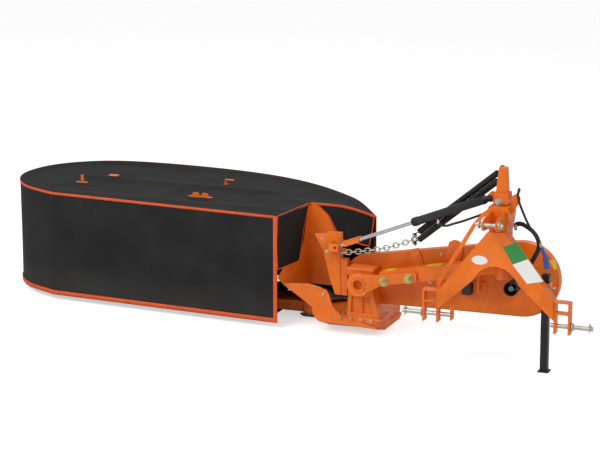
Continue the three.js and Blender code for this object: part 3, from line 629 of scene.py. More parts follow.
def chain_maker():
    """Oval links along a path, each turned a quarter from the one before."""
    maker = Maker("chain", {"Pitch": 0.03, "Link width": 0.030, "Wire": 0.0035})
    graph = maker.graph
    pitch = maker.size("Pitch")
    wire = maker.size("Wire")
    width = maker.size("Link width")
    values = {"Width": pitch + wire * 2.4, "Height": width}
    oblong = graph.add("GeometryNodeCurvePrimitiveQuadrilateral", values)
    values = {"Curve": oblong, "Radius": width * 0.49, "Limit Radius": True, "Count": 5}
    link = graph.add("GeometryNodeFilletCurve", values, mode="POLY")
    section = graph.add("GeometryNodeCurvePrimitiveCircle", {"Resolution": 8, "Radius": wire})
    link = graph.add("GeometryNodeCurveToMesh", {"Curve": link, "Profile Curve": section})
    values = {"Curve": maker.geometry(), "Length": pitch}
    stops = graph.add("GeometryNodeCurveToPoints", values, mode="LENGTH")
    rotation = Signal(graph, stops.socket.node.outputs["Rotation"])
    upright = graph.add("FunctionNodeEulerToRotation", {"Euler": (0.0, math.pi / 2, 0.0)})
    values = {"Rotation": rotation, "Rotate By": upright}
    facing = graph.add("FunctionNodeRotateRotation", values, rotation_space="LOCAL")
    values = {"Points": stops, "Instance": link, "Rotation": facing}
    placed = graph.add("GeometryNodeInstanceOnPoints", values)
    odd = graph.add("GeometryNodeInputIndex") % 2
    quarter = graph.add("ShaderNodeCombineXYZ", {"X": odd * (math.pi / 2)})
    values = {"Instances": placed, "Rotation": quarter, "Local Space": True}
    return maker.end(graph.add("GeometryNodeRotateInstances", values))


def bolt_maker():
    """Hexagon heads on washers, one on each vertex, along the vertex attribute "out"."""
    maker = Maker("bolt", {"Head": 0.0095, "Height": 0.008, "Washer": 0.013, "Stud": 0.005})
    graph = maker.graph
    height = maker.size("Height")
    washer = 0.002
    parts = []
    for sides, radius, tall, lift in (
        (6, maker.size("Head"), height, height * 0.5 + washer),
        (20, maker.size("Washer"), washer * 1.1, washer / 2),
        (12, maker.size("Stud"), height * 0.8, height * 1.2 + washer),
    ):
        values = {"Vertices": sides, "Radius": radius, "Depth": tall}
        body = graph.add("GeometryNodeMeshCylinder", values)
        up = graph.add("ShaderNodeCombineXYZ", {"Z": lift})
        parts.append(graph.add("GeometryNodeTransform", {"Geometry": body, "Translation": up}))
    whole = graph.add("GeometryNodeJoinGeometry")
    for part in parts:
        graph.tree.links.new(part.socket, whole.socket.node.inputs["Geometry"])
    out = graph.add("GeometryNodeInputNamedAttribute", {"Name": "out"}, data_type="FLOAT_VECTOR")
    facing = graph.add("FunctionNodeAlignRotationToVector", {"Vector": out}, axis="Z")
    size = graph.add("GeometryNodeInputNamedAttribute", {"Name": "size"}, data_type="FLOAT")
    values = {"Points": maker.geometry(), "Instance": whole, "Rotation": facing, "Scale": size}
    return maker.end(graph.add("GeometryNodeInstanceOnPoints", values))


def bolt_points(places):
    """An object whose vertices carry the way out and the size of a bolt, from (point, way out, size)."""
    mesh = bpy.data.meshes.new("bolt_points")
    mesh.from_pydata([tuple(p) for p, _, _ in places], [], [])
    mesh.attributes.new("out", "FLOAT_VECTOR", "POINT")
    mesh.attributes.new("size", "FLOAT", "POINT")
    for k, (_, way, scale) in enumerate(places):
        mesh.attributes["out"].data[k].vector = way
        mesh.attributes["size"].data[k].value = scale
    return bpy.data.objects.new("bolt_points", mesh)


# ------------------------------------------------------------------ cover outline, read from the CAD cover

ON_EDGE = 0.002
CURTAIN_STEP = 0.03
RIM_STEP = 0.05
CUT_STEP = 0.04


def rim_loop(node):
    """The outline of a CAD plate's top face, in order, anticlockwise from above."""
    shell = bmesh.new()
    shell.from_mesh(frame["nodes"][node].data)
    bmesh.ops.remove_doubles(shell, verts=shell.verts, dist=1e-5)
    top = max(v.co.z for v in shell.verts)
    faces = {f for f in shell.faces if all(abs(v.co.z - top) < 1e-4 for v in f.verts)}
    follow = {}
    for face in (f for f in shell.faces if f in faces):
        for loop in face.loops:
            if sum(f in faces for f in loop.edge.link_faces) == 1:
                follow[loop.vert.co.copy().freeze()] = loop.link_loop_next.vert.co.copy().freeze()
    start = next(iter(follow))
    loop = [start]
    while follow[loop[-1]] != start and len(loop) <= len(follow):
        loop.append(follow[loop[-1]])
    shell.free()
    if len(loop) < 8:
        raise RuntimeError(f"{node} has no outline")
    return [Vector((p.x, p.y)) for p in loop]


def cover_paths():
    """The curtain's path from the front right corner round to the rear right, and the rest of the rim."""
    loop = rim_loop("top_cover")
    walls = [v.co.to_2d() for v in frame["nodes"]["curtain"].data.vertices]
    on_wall = [min((p - w).length for w in walls) < ON_EDGE for p in loop]
    first = next(k for k in range(len(loop)) if on_wall[k] and not on_wall[k - 1])
    loop = loop[first:] + loop[:first]
    on_wall = on_wall[first:] + on_wall[:first]
    count = on_wall.index(False)
    wall = loop[:count]
    if wall[0].y > wall[-1].y:
        wall.reverse()
        inner = list(reversed(loop[count:]))
    else:
        inner = loop[count:]
    return wall, inner


def spaced(points, step):
    """Points at even steps along a broken line, with its ends."""
    lengths = [0.0]
    for a, b in zip(points, points[1:]):
        lengths.append(lengths[-1] + (b - a).length)
    count = max(2, round(lengths[-1] / step) + 1)
    result = []
    k = 0
    for i in range(count):
        target = lengths[-1] * i / (count - 1)
        while k < len(points) - 2 and lengths[k + 1] < target:
            k += 1
        span = lengths[k + 1] - lengths[k]
        result.append(points[k].lerp(points[k + 1], (target - lengths[k]) / span if span else 0.0))
    return result


def sideways(points):
    """Level directions that point out of the cover, one for each point of the wall's path."""
    result = []
    centre = sum(points, Vector((0, 0))) / len(points)
    for k, point in enumerate(points):
        along = points[min(k + 1, len(points) - 1)] - points[max(k - 1, 0)]
        out = Vector((along.y, -along.x)).normalized()
        result.append(out if out.dot(point - centre) > 0 else -out)
    return result


# ------------------------------------------------------------------ settings


class MowerColours(bpy.types.PropertyGroup):
    """Colours of the finishes."""

    orange: FloatVectorProperty(
        name="Orange paint", description="Powder coat of the frames", subtype="COLOR", size=4,
        default=linear(230, 110, 8), min=0, max=1,
    )
    black: FloatVectorProperty(
        name="Black paint", description="Paint of the stand, springs and cylinder", subtype="COLOR", size=4,
        default=linear(11, 11, 12), min=0, max=1,
    )
    fabric: FloatVectorProperty(
        name="Cover fabric", description="Coated cloth of the cover", subtype="COLOR", size=4,
        default=linear(28, 28, 29), min=0, max=1,
    )
    tape: FloatVectorProperty(
        name="Edging tape", description="Binding along the cover's edges", subtype="COLOR", size=4,
        default=linear(228, 88, 22), min=0, max=1,
    )


class MowerCover(bpy.types.PropertyGroup):
    """Sizes of the fabric cover."""

    cloth: FloatProperty(
        name="Cloth", description="Thickness of the cloth", default=0.0025, min=0.001, max=0.006,
        unit="LENGTH",
    )
    fold: FloatProperty(
        name="Fold", description="Depth of the soft folds at the hem", default=0.007, min=0, max=0.02,
        unit="LENGTH",
    )
    sag: FloatProperty(
        name="Sag", description="Most that the top hangs between its bars", default=0.016, min=0, max=0.03,
        unit="LENGTH",
    )
    rim_tape: FloatProperty(
        name="Rim tape", description="Height of the tape along the rim", default=0.018, min=0.008, max=0.04,
        unit="LENGTH",
    )
    hem_tape: FloatProperty(
        name="Hem tape", description="Height of the tape along the hem", default=0.031, min=0.008, max=0.05,
        unit="LENGTH",
    )


class MowerSprings(bpy.types.PropertyGroup):
    """Sizes of the balance springs and their chain."""

    wire: FloatProperty(
        name="Wire", description="Radius of the spring wire", default=0.0036, min=0.001, max=0.006,
        unit="LENGTH",
    )
    link_pitch: FloatProperty(
        name="Link pitch", description="Distance between chain links", default=0.038, min=0.015, max=0.06,
        unit="LENGTH",
    )
    link_wire: FloatProperty(
        name="Link wire", description="Radius of a chain link's bar", default=0.0045, min=0.002, max=0.006,
        unit="LENGTH",
    )


class MowerHoses(bpy.types.PropertyGroup):
    """Sizes of the hydraulic hoses."""

    radius: FloatProperty(
        name="Hose radius", description="Outside radius of a hose", default=0.0078, min=0.004, max=0.012,
        unit="LENGTH",
    )


class MowerStage(bpy.types.PropertyGroup):
    """Camera and light."""

    azimuth: FloatProperty(
        name="Azimuth", description="Way round of the camera", default=math.radians(21.409), subtype="ANGLE"
    )
    elevation: FloatProperty(
        name="Elevation", description="Height angle of the camera", default=math.radians(13.212),
        subtype="ANGLE",
    )
    distance: FloatProperty(
        name="Distance", description="From the camera to the point it looks at", default=15.025,
        unit="LENGTH",
    )
    lens: FloatProperty(
        name="Lens", description="Focal length in millimetres", default=138.34, min=10, max=400
    )
    light: FloatProperty(name="Light", description="Strength of the lamps", default=1.0, min=0, max=5)
    sides: IntProperty(
        name="Floor sides", description="Corners of the floor disc", default=64, min=8, max=256
    )


# ------------------------------------------------------------------ cover


class MOWER_OT_finishes(bpy.types.Operator):
    """Gives each CAD piece the finish of its material slot"""

    bl_idname = "mower.finishes"
    bl_label = "Finishes"

    def execute(self, context):
        make_finishes(context.scene.mower_colours)
        for name, node in frame["nodes"].items():
            node.data.materials.clear()
            node.data.materials.append(FINISHES[SLOT_OF[name]])
        return {"FINISHED"}


def droop(point):
    """How far the free rear corner of the cover hangs below its rim."""
    deepest = 0.056
    left, wide = -1.36, 0.275
    rear, long = 1.20, 0.33
    spot = point.to_3d() - HITCH
    along = min(1.0, max(0.0, (spot.x - left) / wide))
    near = min(1.0, max(0.0, (rear - spot.y) / long))
    return deepest * along ** 1.6 * near * near * (3 - 2 * near)


def hem_height(point, hem):
    """The curtain's lower edge, raised where it passes over the cutter bar and its shoe."""
    gap = 0.014
    past_shoe, before_bar, behind_bar = 0.05, 0.03, 0.06
    shoe_low = box("inner_shoe")[0]
    bar_low, bar_high = box("cutter_bar")
    near = point.x > shoe_low.x + past_shoe and point.y > bar_low.y - before_bar
    return bar_high.z + gap if near and point.y < bar_high.y + behind_bar else hem


def line_length(points):
    """Length of a broken line."""
    return sum((b - a).length for a, b in zip(points, points[1:]))


def thicken(piece, cloth):
    """Gives a sheet its thickness, inwards from its outer face."""
    thick = piece.modifiers.new("cloth", "SOLIDIFY")
    thick.thickness = cloth
    thick.offset = -1.0


class MOWER_OT_curtain(bpy.types.Operator):
    """Hangs the fabric wall round the cutter"""

    bl_idname = "mower.curtain"
    bl_label = "Curtain"

    def execute(self, context):
        sizes = context.scene.mower_cover
        low, high = box("curtain")
        wall, _ = cover_paths()
        path = spaced(wall, CURTAIN_STEP)
        rows = 26
        even_ends = 6
        vertices = []
        uvs = []
        for i, (point, way) in enumerate(zip(path, sideways(path))):
            run = i * CURTAIN_STEP
            hem = hem_height(point, low.z)
            for j in range(rows + 1):
                t = j / rows
                z = high.z - droop(point) * (1 - t) + (hem - high.z) * t
                # A long and a short wave, in radians a metre, which never fall in step.
                wave = 0.5 + 0.30 * math.sin(run * 5.1 + 0.7) + 0.20 * math.sin(run * 11.3 + 2.1 + 1.2 * t)
                free = math.sin(math.pi * min(1.0, t * 1.15) / 2) ** 2
                ends = min(1.0, i / even_ends, (len(path) - 1 - i) / even_ends)
                inward = sizes.cloth * 0.6 + sizes.fold * wave * free * ends
                inward += 0.004 * math.sin(math.pi * t) * (0.5 + 0.5 * math.sin(run * 2.3))
                spot = point - way * inward
                vertices.append((spot.x, spot.y, z))
                uvs.append((run, z))
        area = sum((b - a).length * (high.z - hem_height(a, low.z)) for a, b in zip(path, path[1:]))
        mesh = bpy.data.meshes.new("cover_curtain")
        mesh.from_pydata(vertices, [], grid_faces(len(path) - 1, rows))
        lay_uvs(mesh, uvs)
        face_outwards(mesh, middle("curtain"))
        piece = show("cover_curtain", mesh, "cover_fabric", "cutter_unit")
        thicken(piece, sizes.cloth)
        flat = (line_length(path), high.z - low.z)
        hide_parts("curtain")
        return {"FINISHED"}


def lay_uvs(mesh, uvs):
    """Gives a mesh its cloth map, in metres along and across the threads."""
    layer = mesh.uv_layers.new(name="cloth")
    for loop in mesh.loops:
        layer.data[loop.index].uv = uvs[loop.vertex_index]


def face_outwards(mesh, centre):
    """Turns an open wall so that its faces look away from a centre."""
    away = sum((f.center - centre).to_2d().dot(f.normal.to_2d()) * f.area for f in mesh.polygons)
    if away < 0:
        mesh.flip_normals()


SETTLING_FRAMES = 25


class MOWER_OT_cover_top(bpy.types.Operator):
    """Lays the fabric top on its bars and lets it sag"""

    bl_idname = "mower.cover_top"
    bl_label = "Cover top"

    def execute(self, context):
        sizes = context.scene.mower_cover
        low, high = box("top_cover")
        loop = rim_loop("top_cover")
        rim = spaced(loop + [loop[0]], RIM_STEP)[:-1]
        step = 0.04
        grid = []
        for i in range(1, int((high.x - low.x) / step)):
            for j in range(1, int((high.y - low.y) / step)):
                point = Vector((low.x + i * step, low.y + (j + 0.5 * (i % 2)) * step))
                if min((point - p).length for p in rim) > step * 0.55:
                    grid.append(point)
        edges = [(k, (k + 1) % len(rim)) for k in range(len(rim))]
        points, _, faces, *_ = delaunay_2d_cdt(rim + grid, edges, [], 1, 1e-5)
        top = high.z - sizes.cloth * 0.5
        mesh = bpy.data.meshes.new("cover_top")
        mesh.from_pydata([(p.x, p.y, top) for p in points], [], faces)
        bars = self.bars()
        held = []
        for p in points:
            on_bar = any(intersect_point_tri_2d(p, *bar) for bar in bars)
            at_rim = min((p - q).length for q in rim) < 2 * ON_EDGE
            held.append(on_bar or at_rim)
        piece = bpy.data.objects.new("cover_top", mesh)
        bpy.context.scene.collection.objects.link(piece)
        self.settle(piece, held, sizes.sag)
        mesh = piece.data
        for vertex, hold in zip(mesh.vertices, held):
            if hold:
                vertex.co.z = top
            vertex.co.z -= droop(vertex.co)
        bpy.data.objects.remove(piece)
        mesh.materials.clear()
        if sum(f.normal.z for f in mesh.polygons) < 0:
            mesh.flip_normals()
        lay_uvs(mesh, [(v.co.x, v.co.y) for v in mesh.vertices])
        piece = show("cover_top", mesh, "cover_fabric", "cutter_unit")
        thicken(piece, sizes.cloth)
        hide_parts("top_cover")
        return {"FINISHED"}

    def bars(self):
        """The triangles on top of the CAD frame's bars, seen from above."""
        data = frame["nodes"]["cover_frame"].data
        data.calc_loop_triangles()
        top = max(v.co.z for v in data.vertices)
        spans = []
        for face in data.loop_triangles:
            if face.normal.z > 0.9 and data.vertices[face.vertices[0]].co.z > top - ON_EDGE:
                spans.append([data.vertices[k].co.to_2d() for k in face.vertices])
        return spans

    def settle(self, piece, held, most):
        """Lets the cloth hang from its rim and bars, and keeps the result."""
        group = piece.vertex_groups.new(name="held")
        for k, hold in enumerate(held):
            group.add([k], 1.0 if hold else 0.0, "REPLACE")
        cloth = piece.modifiers.new("cloth", "CLOTH")
        cloth.settings.quality = 6
        cloth.settings.mass = 0.6
        cloth.settings.tension_stiffness = 60
        cloth.settings.compression_stiffness = 30
        cloth.settings.bending_stiffness = 4
        cloth.settings.vertex_group_mass = "held"
        cloth.settings.shrink_min = -0.004
        cloth.collision_settings.use_collision = False
        scene = bpy.context.scene
        for number in range(1, SETTLING_FRAMES + 1):
            scene.frame_set(number)
        graph = bpy.context.evaluated_depsgraph_get()
        settled = bpy.data.meshes.new_from_object(piece.evaluated_get(graph))
        flat = piece.data
        for new, old in zip(settled.vertices, flat.vertices):
            new.co.x, new.co.y = old.co.x, old.co.y
            new.co.z = max(old.co.z - most, min(old.co.z, new.co.z))
        piece.modifiers.remove(cloth)
        scene.frame_set(1)
        piece.data = settled
        if not all(math.isfinite(v.co.z) for v in settled.vertices):
            raise RuntimeError("the cloth did not settle")


class MOWER_OT_binding(bpy.types.Operator):
    """Sews the orange tape along the rim, the hem and the upright edges"""

    bl_idname = "mower.binding"
    bl_label = "Edging tape"

    def execute(self, context):
        sizes = context.scene.mower_cover
        low = box("curtain")[0]
        top = box("top_cover")[1].z
        wall, inner = cover_paths()
        maker = tape_maker()
        clear_of_cloth = 0.0012
        half_thick = 0.0018
        path = spaced(wall, CURTAIN_STEP)
        outer = [p + way * clear_of_cloth for p, way in zip(path, sideways(path))]
        cut = spaced([wall[-1]] + inner + [wall[0]], CUT_STEP)
        rim_z = top - sizes.rim_tape / 2
        strips = []
        for line, width in (
            ([(p.x, p.y, rim_z - droop(p)) for p in outer], sizes.rim_tape),
            ([(p.x, p.y, rim_z - droop(p)) for p in cut], sizes.rim_tape),
            ([(p.x, p.y, hem_height(p, low.z) + sizes.hem_tape / 2) for p in outer], sizes.hem_tape),
        ):
            strips.append(maker.run(path_object(line, smooth=False), "orange_tape", Width=width))
        for end, beside in ((outer[0], outer[1]), (outer[-1], outer[-2])):
            along = (beside - end).normalized() * sizes.hem_tape * 0.85
            out = Vector((along.y, -along.x)).normalized() * half_thick
            corners = [end - out, end + along - out, end + along + out, end + out]
            foot = hem_height(end, low.z)
            vertices = [(c.x, c.y, z) for z in (foot, top - droop(end)) for c in corners]
            faces = [(0, 1, 2, 3), (4, 5, 6, 7), (0, 1, 5, 4), (1, 2, 6, 5), (2, 3, 7, 6), (3, 0, 4, 7)]
            strips.append(mesh_from("edge", vertices, faces))
        tape = joined("cover_binding", strips)
        show("cover_binding", tape, "orange_tape", "cutter_unit", smooth=False)
        return {"FINISHED"}


def step_line(stops, value):
    """The second number of a list of pairs, at a value of the first."""
    for (a, x), (b, y) in zip(stops, stops[1:]):
        if (value - a) * (value - b) <= 0:
            return x + (y - x) * (value - a) / (b - a)
    return stops[0][1] if abs(value - stops[0][0]) < abs(value - stops[-1][0]) else stops[-1][1]


class MOWER_OT_side_cloths(bpy.types.Operator):
    """Hangs the cloth beside the divider and the flap over the rear corner, with bound edges"""

    bl_idname = "mower.side_cloths"
    bl_label = "Side cloths"

    def execute(self, context):
        sizes = context.scene.mower_cover
        low, high = box("side_panel")
        top = high.z - HITCH.z
        front = low.y - HITCH.y
        # Heights, and how far back the rear edge stands at each.
        rear = ((0.389, 0.694), (0.483, 0.731), (0.600, 0.772), (top, 0.838))

        front_hem, rear_hem = 0.396, 0.389
        clear, spare = 0.004, 0.006

        def beside(u, v):
            z = top + (front_hem + (rear_hem - front_hem) * u - top) * v
            y = front + (step_line(rear, z) - front) * u
            share = (y - front) / (high.y - low.y)
            fold = sizes.fold * 0.8 * math.sin(math.pi * v) * (0.5 + 0.5 * math.sin(9.0 * u + 2.0 * v))
            x = low.x - HITCH.x + clear + (high.x - low.x - spare) * share - fold
            return Vector((x, y, z))

        self.cloth(sizes, "side_panel", beside, 16, 18, ("inner_shield",), Vector((-1, 0, 0)))
        low, high = box("rear_flap")
        top = high.z - HITCH.z
        # Heights, and where the left and right edges stand at each.
        left = ((0.499, -1.300), (0.520, -1.340), (0.583, -1.373), (0.675, -1.423), (top, -1.512))
        right = ((0.483, -1.136), (0.522, -1.130), (0.605, -1.113), (0.669, -1.104), (top, -1.104))

        left_hem, right_hem = 0.516, 0.490
        corner, wide, back = -1.512, 0.408, 0.85

        def behind(u, v):
            hem = left_hem + (right_hem - left_hem) * u
            head = top - droop(HITCH + Vector((corner + wide * u, back, 0.0)))
            z = head + (hem - head) * v
            x = step_line(left, z) + (step_line(right, z) - step_line(left, z)) * u
            fold = sizes.fold * 0.6 * v * math.sin(13.0 * u + 1.0)
            return Vector((x, low.y - HITCH.y + clear + fold, z))

        self.cloth(sizes, "rear_flap", behind, 20, 14, ("inner_shield", "cover_frame"), Vector((0, -1, 0)))
        return {"FINISHED"}

    def cloth(self, sizes, node, place, across, deep, rests_on, outward):
        """One sheet made on a grid, with a round binding along its two sides and its hem."""
        spots = [[HITCH + place(i / across, j / deep) for j in range(deep + 1)] for i in range(across + 1)]
        mesh = bpy.data.meshes.new(node + "_cloth")
        mesh.from_pydata([tuple(p) for column in spots for p in column], [], grid_faces(across, deep))
        wide = line_length([column[0] for column in spots])
        tall = max(line_length(column) for column in spots)
        lay_uvs(mesh, [(i / across * wide, v.z) for i, column in enumerate(spots) for v in column])
        if sum(f.normal.dot(outward) for f in mesh.polygons) < 0:
            mesh.flip_normals()
        flat = (max(wide, line_length([column[-1] for column in spots])), tall)
        piece = show(node + "_cloth", mesh, "cover_fabric", "cutter_unit")
        thicken(piece, sizes.cloth)
        edge = spots[0] + [column[-1] for column in spots[1:-1]] + spots[-1][::-1]
        binding = path_object(edge, smooth=False)
        rope = hose_maker().run(binding, "orange_tape", Radius=0.0048, Sides=8)
        show(node + "_binding", rope, "orange_tape", "cutter_unit")
        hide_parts(node)


# ------------------------------------------------------------------ springs and chain


def pin_of(joint):
    """Where a joint's axis passes."""
    return Vector(JOINTS[joint]["pos_m"])


class MOWER_OT_springs(bpy.types.Operator):
    """Winds the two balance springs between their pins and the chain"""

    bl_idname = "mower.springs"
    bl_label = "Balance springs"

    def execute(self, context):
        sizes = context.scene.mower_springs
        maker = coil_maker()
        ring = pin_of("chain_tilt")
        spread = 0.026
        hook = 0.044
        outer_radius = 0.0208
        top_eye, low_eye = 0.021, 0.0125
        pitch = sizes.wire * 2.3
        for number, side in ((1, 1), (2, -1)):
            node = f"balance_spring_{number}"
            pin = pin_of(f"spring_{number}_tilt")
            end = ring + Vector((0, 0, side * spread))
            along = (end - pin).normalized()
            height = (end - pin).length - 2 * hook
            coil = maker.run(
                path_object([(0, 0, 0), (0, 0, 1)]), "black_paint", Wire=sizes.wire,
                Radius=outer_radius - sizes.wire, Height=height, Turns=height / pitch,
            )
            coil.transform(Matrix.Translation(pin + along * hook) @ frame_along(along))
            body = f"spring_{number}"
            piece = show(node + "_coil", coil, "black_paint", body)
            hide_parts(node)
            hooks = [
                self.hook(pin, along, hook, sizes.wire * 1.15, top_eye),
                self.hook(end, -along, hook, sizes.wire * 1.15, low_eye),
            ]
            show(node + "_hooks", joined("hooks", hooks), "black_paint", body)
        return {"FINISHED"}

    def hook(self, pin, way, reach, wire, eye):
        """A bent eye round a pin that runs into the coil."""
        side = way.cross(Vector((0, 1, 0))).normalized()
        points = []
        for k in range(11):
            a = math.radians(-150 + 30 * k)
            points.append(pin + (way * math.cos(a) + side * math.sin(a)) * eye)
        points += [pin + way * (eye + 0.008) + side * 0.004, pin + way * (reach + 0.004)]
        return hose_maker().run(path_object(points), "black_paint", Radius=wire, Sides=10)


class MOWER_OT_cylinder_trim(bpy.types.Operator):
    """Adds the lug at the lift cylinder's foot and the gland and port rings on its barrel"""

    bl_idname = "mower.cylinder_trim"
    bl_label = "Cylinder trim"

    def execute(self, context):
        foot = pin_of("barrel_tilt")
        way = Vector(JOINTS["rod_slide"]["axis"]).normalized()
        if way.x > 0:
            way = -way
        outline = (
            (-0.066, -0.052), (-0.020, -0.022), (0.006, -0.020), (0.018, 0.0), (0.006, 0.020),
            (-0.060, 0.008),
        )
        beside = foot + Vector((0, -0.030, 0))
        place = Matrix.Translation(beside) @ Matrix.Rotation(math.pi / 2, 4, "X")
        lug = plate("cylinder_lug", outline, 0.007, place, bevel=0.0015)
        show("cylinder_lug", lug, "black_paint", "cylinder_barrel")
        rings = []
        r = 0.0274
        # How far up the barrel each ring starts, how far it stands proud, and its length.
        for along, grow, length in ((0.598, 0.0018, 0.034), (0.056, 0.0012, 0.016)):
            profile = [(0.0, r), (0.002, r + grow), (length - 0.002, r + grow), (length, r)]
            rings.append(turned("ring", profile, foot + way * along, way, 40))
        show("cylinder_rings", joined("rings", rings), "black_paint", "cylinder_barrel")
        return {"FINISHED"}


class MOWER_OT_chain(bpy.types.Operator):
    """Hangs the link chain between the springs and the cutter"""

    bl_idname = "mower.chain"
    bl_label = "Lift chain"

    def execute(self, context):
        sizes = context.scene.mower_springs
        start = pin_of("chain_tilt")
        low, high = box("chain")
        end = Vector((low.x, high.y - 0.009, low.z + 0.012))
        points = [start]
        # Share of the way along, and how far the chain hangs below the straight line there.
        for t, sink in ((0.15, 0.012), (0.4, 0.022), (0.7, 0.016), (1.0, 0.0)):
            points.append(start.lerp(end, t) - Vector((0, 0, sink)))
        maker = chain_maker()
        links = maker.run(path_object(points), "zinc", Pitch=sizes.link_pitch, Wire=sizes.link_wire)
        piece = show("chain_links", links, "zinc", "lift_chain")
        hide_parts("chain")
        ring = [
            start + Vector((0.006 * math.sin(a), 0.010 * math.sin(a), 0.034 * math.cos(a)))
            for a in whole_turn()
        ]
        hoop = hose_maker().run(path_object(ring), "zinc", Radius=0.0042, Sides=10)
        show("chain_ring", hoop, "zinc", "lift_chain")
        return {"FINISHED"}


# ------------------------------------------------------------------ hoses


# The body each hose rides on, or None for the one that rides on no body, and its route from the hitch.
HOSE_ROUTES = {
    "cylinder_hose": (None, (
        (-0.450, 0.212, 0.8695), (-0.449, 0.210, 0.850), (-0.420, 0.200, 0.836), (-0.330, 0.180, 0.862),
        (-0.200, 0.172, 0.915), (-0.100, 0.1683, 0.960), (-0.040, 0.1583, 0.978),
    )),
    "supply_hose": ("headstock", (
        (-0.022, 0.1583, 0.978), (0.020, 0.1623, 1.006), (0.056, 0.1603, 1.056), (0.084, 0.146, 1.104),
        (0.096, 0.112, 1.126), (0.104, 0.070, 1.128), (0.112, 0.034, 1.094), (0.142, 0.042, 1.000),
        (0.189, 0.052, 0.903), (0.236, 0.050, 0.845), (0.258, 0.038, 0.812), (0.265, 0.036, 0.793),
    )),
    "loop_hose": ("headstock", (
        (0.0773, 0.118, 0.868), (0.080, 0.112, 0.895), (0.112, 0.110, 0.904), (0.150, 0.108, 0.889),
        (0.186, 0.108, 0.863), (0.214, 0.108, 0.822), (0.222, 0.106, 0.775), (0.206, 0.096, 0.730),
        (0.183, 0.078, 0.680), (0.163, 0.060, 0.630),
    )),
    "return_hose": ("headstock", (
        (0.0773, 0.106, 0.880), (0.080, 0.100, 0.910), (0.112, 0.098, 0.921), (0.155, 0.096, 0.905),
        (0.196, 0.096, 0.877), (0.229, 0.096, 0.830), (0.239, 0.094, 0.775), (0.221, 0.084, 0.726),
        (0.196, 0.066, 0.672), (0.176, 0.040, 0.614), (0.171, 0.0, 0.592), (0.170, -0.0361, 0.592),
    )),
}


# Distance along the ferrule and its radius as a share of the hose's.
FERRULE = (
    (0.0, 0.9), (0.001, 1.25), (0.008, 1.25), (0.009, 1.12), (0.012, 1.12), (0.013, 1.3), (0.026, 1.3),
    (0.028, 1.05),
)


class MOWER_OT_hoses(bpy.types.Operator):
    """Sweeps the hydraulic hoses and puts a crimped ferrule on each end"""

    bl_idname = "mower.hoses"
    bl_label = "Hoses"

    def execute(self, context):
        sizes = context.scene.mower_hoses
        maker = hose_maker()
        for name, (body, route) in HOSE_ROUTES.items():
            points = [from_hitch(*p) for p in route]
            tube = maker.run(path_object(points), "black_rubber", Radius=sizes.radius)
            piece = show(name + "_tube", tube, "black_rubber", body)
            if name in frame["nodes"]:
                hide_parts(name)
            ferrules = []
            for start, after in ((points[0], points[1]), (points[-1], points[-2])):
                way = (after - start).normalized()
                profile = [(along, sizes.radius * grow) for along, grow in FERRULE]
                ferrules.append(turned("ferrule", profile, start, way, 20))
            crimps = show(name + "_ferrules", joined("ferrules", ferrules), "zinc", body)
            if body is None:
                for bent in (piece, crimps):
                    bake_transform(bent)
        return {"FINISHED"}


# ------------------------------------------------------------------ bolts and plates

FRONT = Vector((0, -1, 0))
UP = Vector((0, 0, 1))


def bolt_places():
    """Where bolts sit: body, places as (point, way out, size), and finish."""
    foot_low, foot_high = box("gearbox_housing")
    flange = box("inner_shoe")[1].z + 0.012
    from_front, from_side = 0.020, 0.022
    cutter = []
    for x in (0.03, 0.10, 0.17, 0.24):
        cutter.append((Vector((foot_low.x + x, foot_low.y + from_front, flange)), UP, 1.0))
    for y in (0.10, 0.17, 0.24):
        for x in (foot_low.x + from_side, foot_high.x - from_side):
            cutter.append((Vector((x, foot_low.y + y, flange)), UP, 1.0))
    front = box("upright")[0].y - HITCH.y
    for x, z, size in ((-1.277, 0.539, 0.8), (-1.310, 0.622, 0.7)):
        cutter.append((from_hitch(x, front, z), FRONT, size))
    cutter.append((from_hitch(-1.309, 0.460, 0.244), FRONT, 0.9))
    nut = [(from_hitch(-0.013, 0.048, 1.050), FRONT, 1.9)]
    arm = box("fork_arm")[0].y - HITCH.y
    fork = [(from_hitch(x, arm, z), FRONT, 2.5) for x, z in ((-0.863, 0.389), (-0.697, 0.423))]
    guard = box("belt_guard_plate")[0].y - HITCH.y
    carrier = []
    for x, z in ((-0.535, 0.559), (-0.325, 0.597), (-0.478, 0.583), (-0.610, 0.369)):
        carrier.append((from_hitch(x, guard, z), FRONT, 0.9))
    return (
        ("cutter_unit", cutter, "zinc"),
        ("carrier", carrier, "zinc"),
        ("carrier", fork, "yellow_zinc"),
        ("carrier", nut, "zinc"),
    )


class MOWER_OT_bolts(bpy.types.Operator):
    """Sets the bolts of each body"""

    bl_idname = "mower.bolts"
    bl_label = "Bolts"

    def execute(self, context):
        maker = bolt_maker()
        for body, places, finish_name in bolt_places():
            mesh = maker.run(bolt_points(places), finish_name)
            name = f"bolts_{finish_name}_{body}_{len(places)}"
            show(name, mesh, finish_name, body, smooth=False)
        return {"FINISHED"}


def facing_front(y):
    """Puts an outline's x and y on X and Z of a plane that faces the tractor."""
    return Matrix.Translation(from_hitch(0.0, y, 0.0)) @ Matrix.Rotation(math.pi / 2, 4, "X")


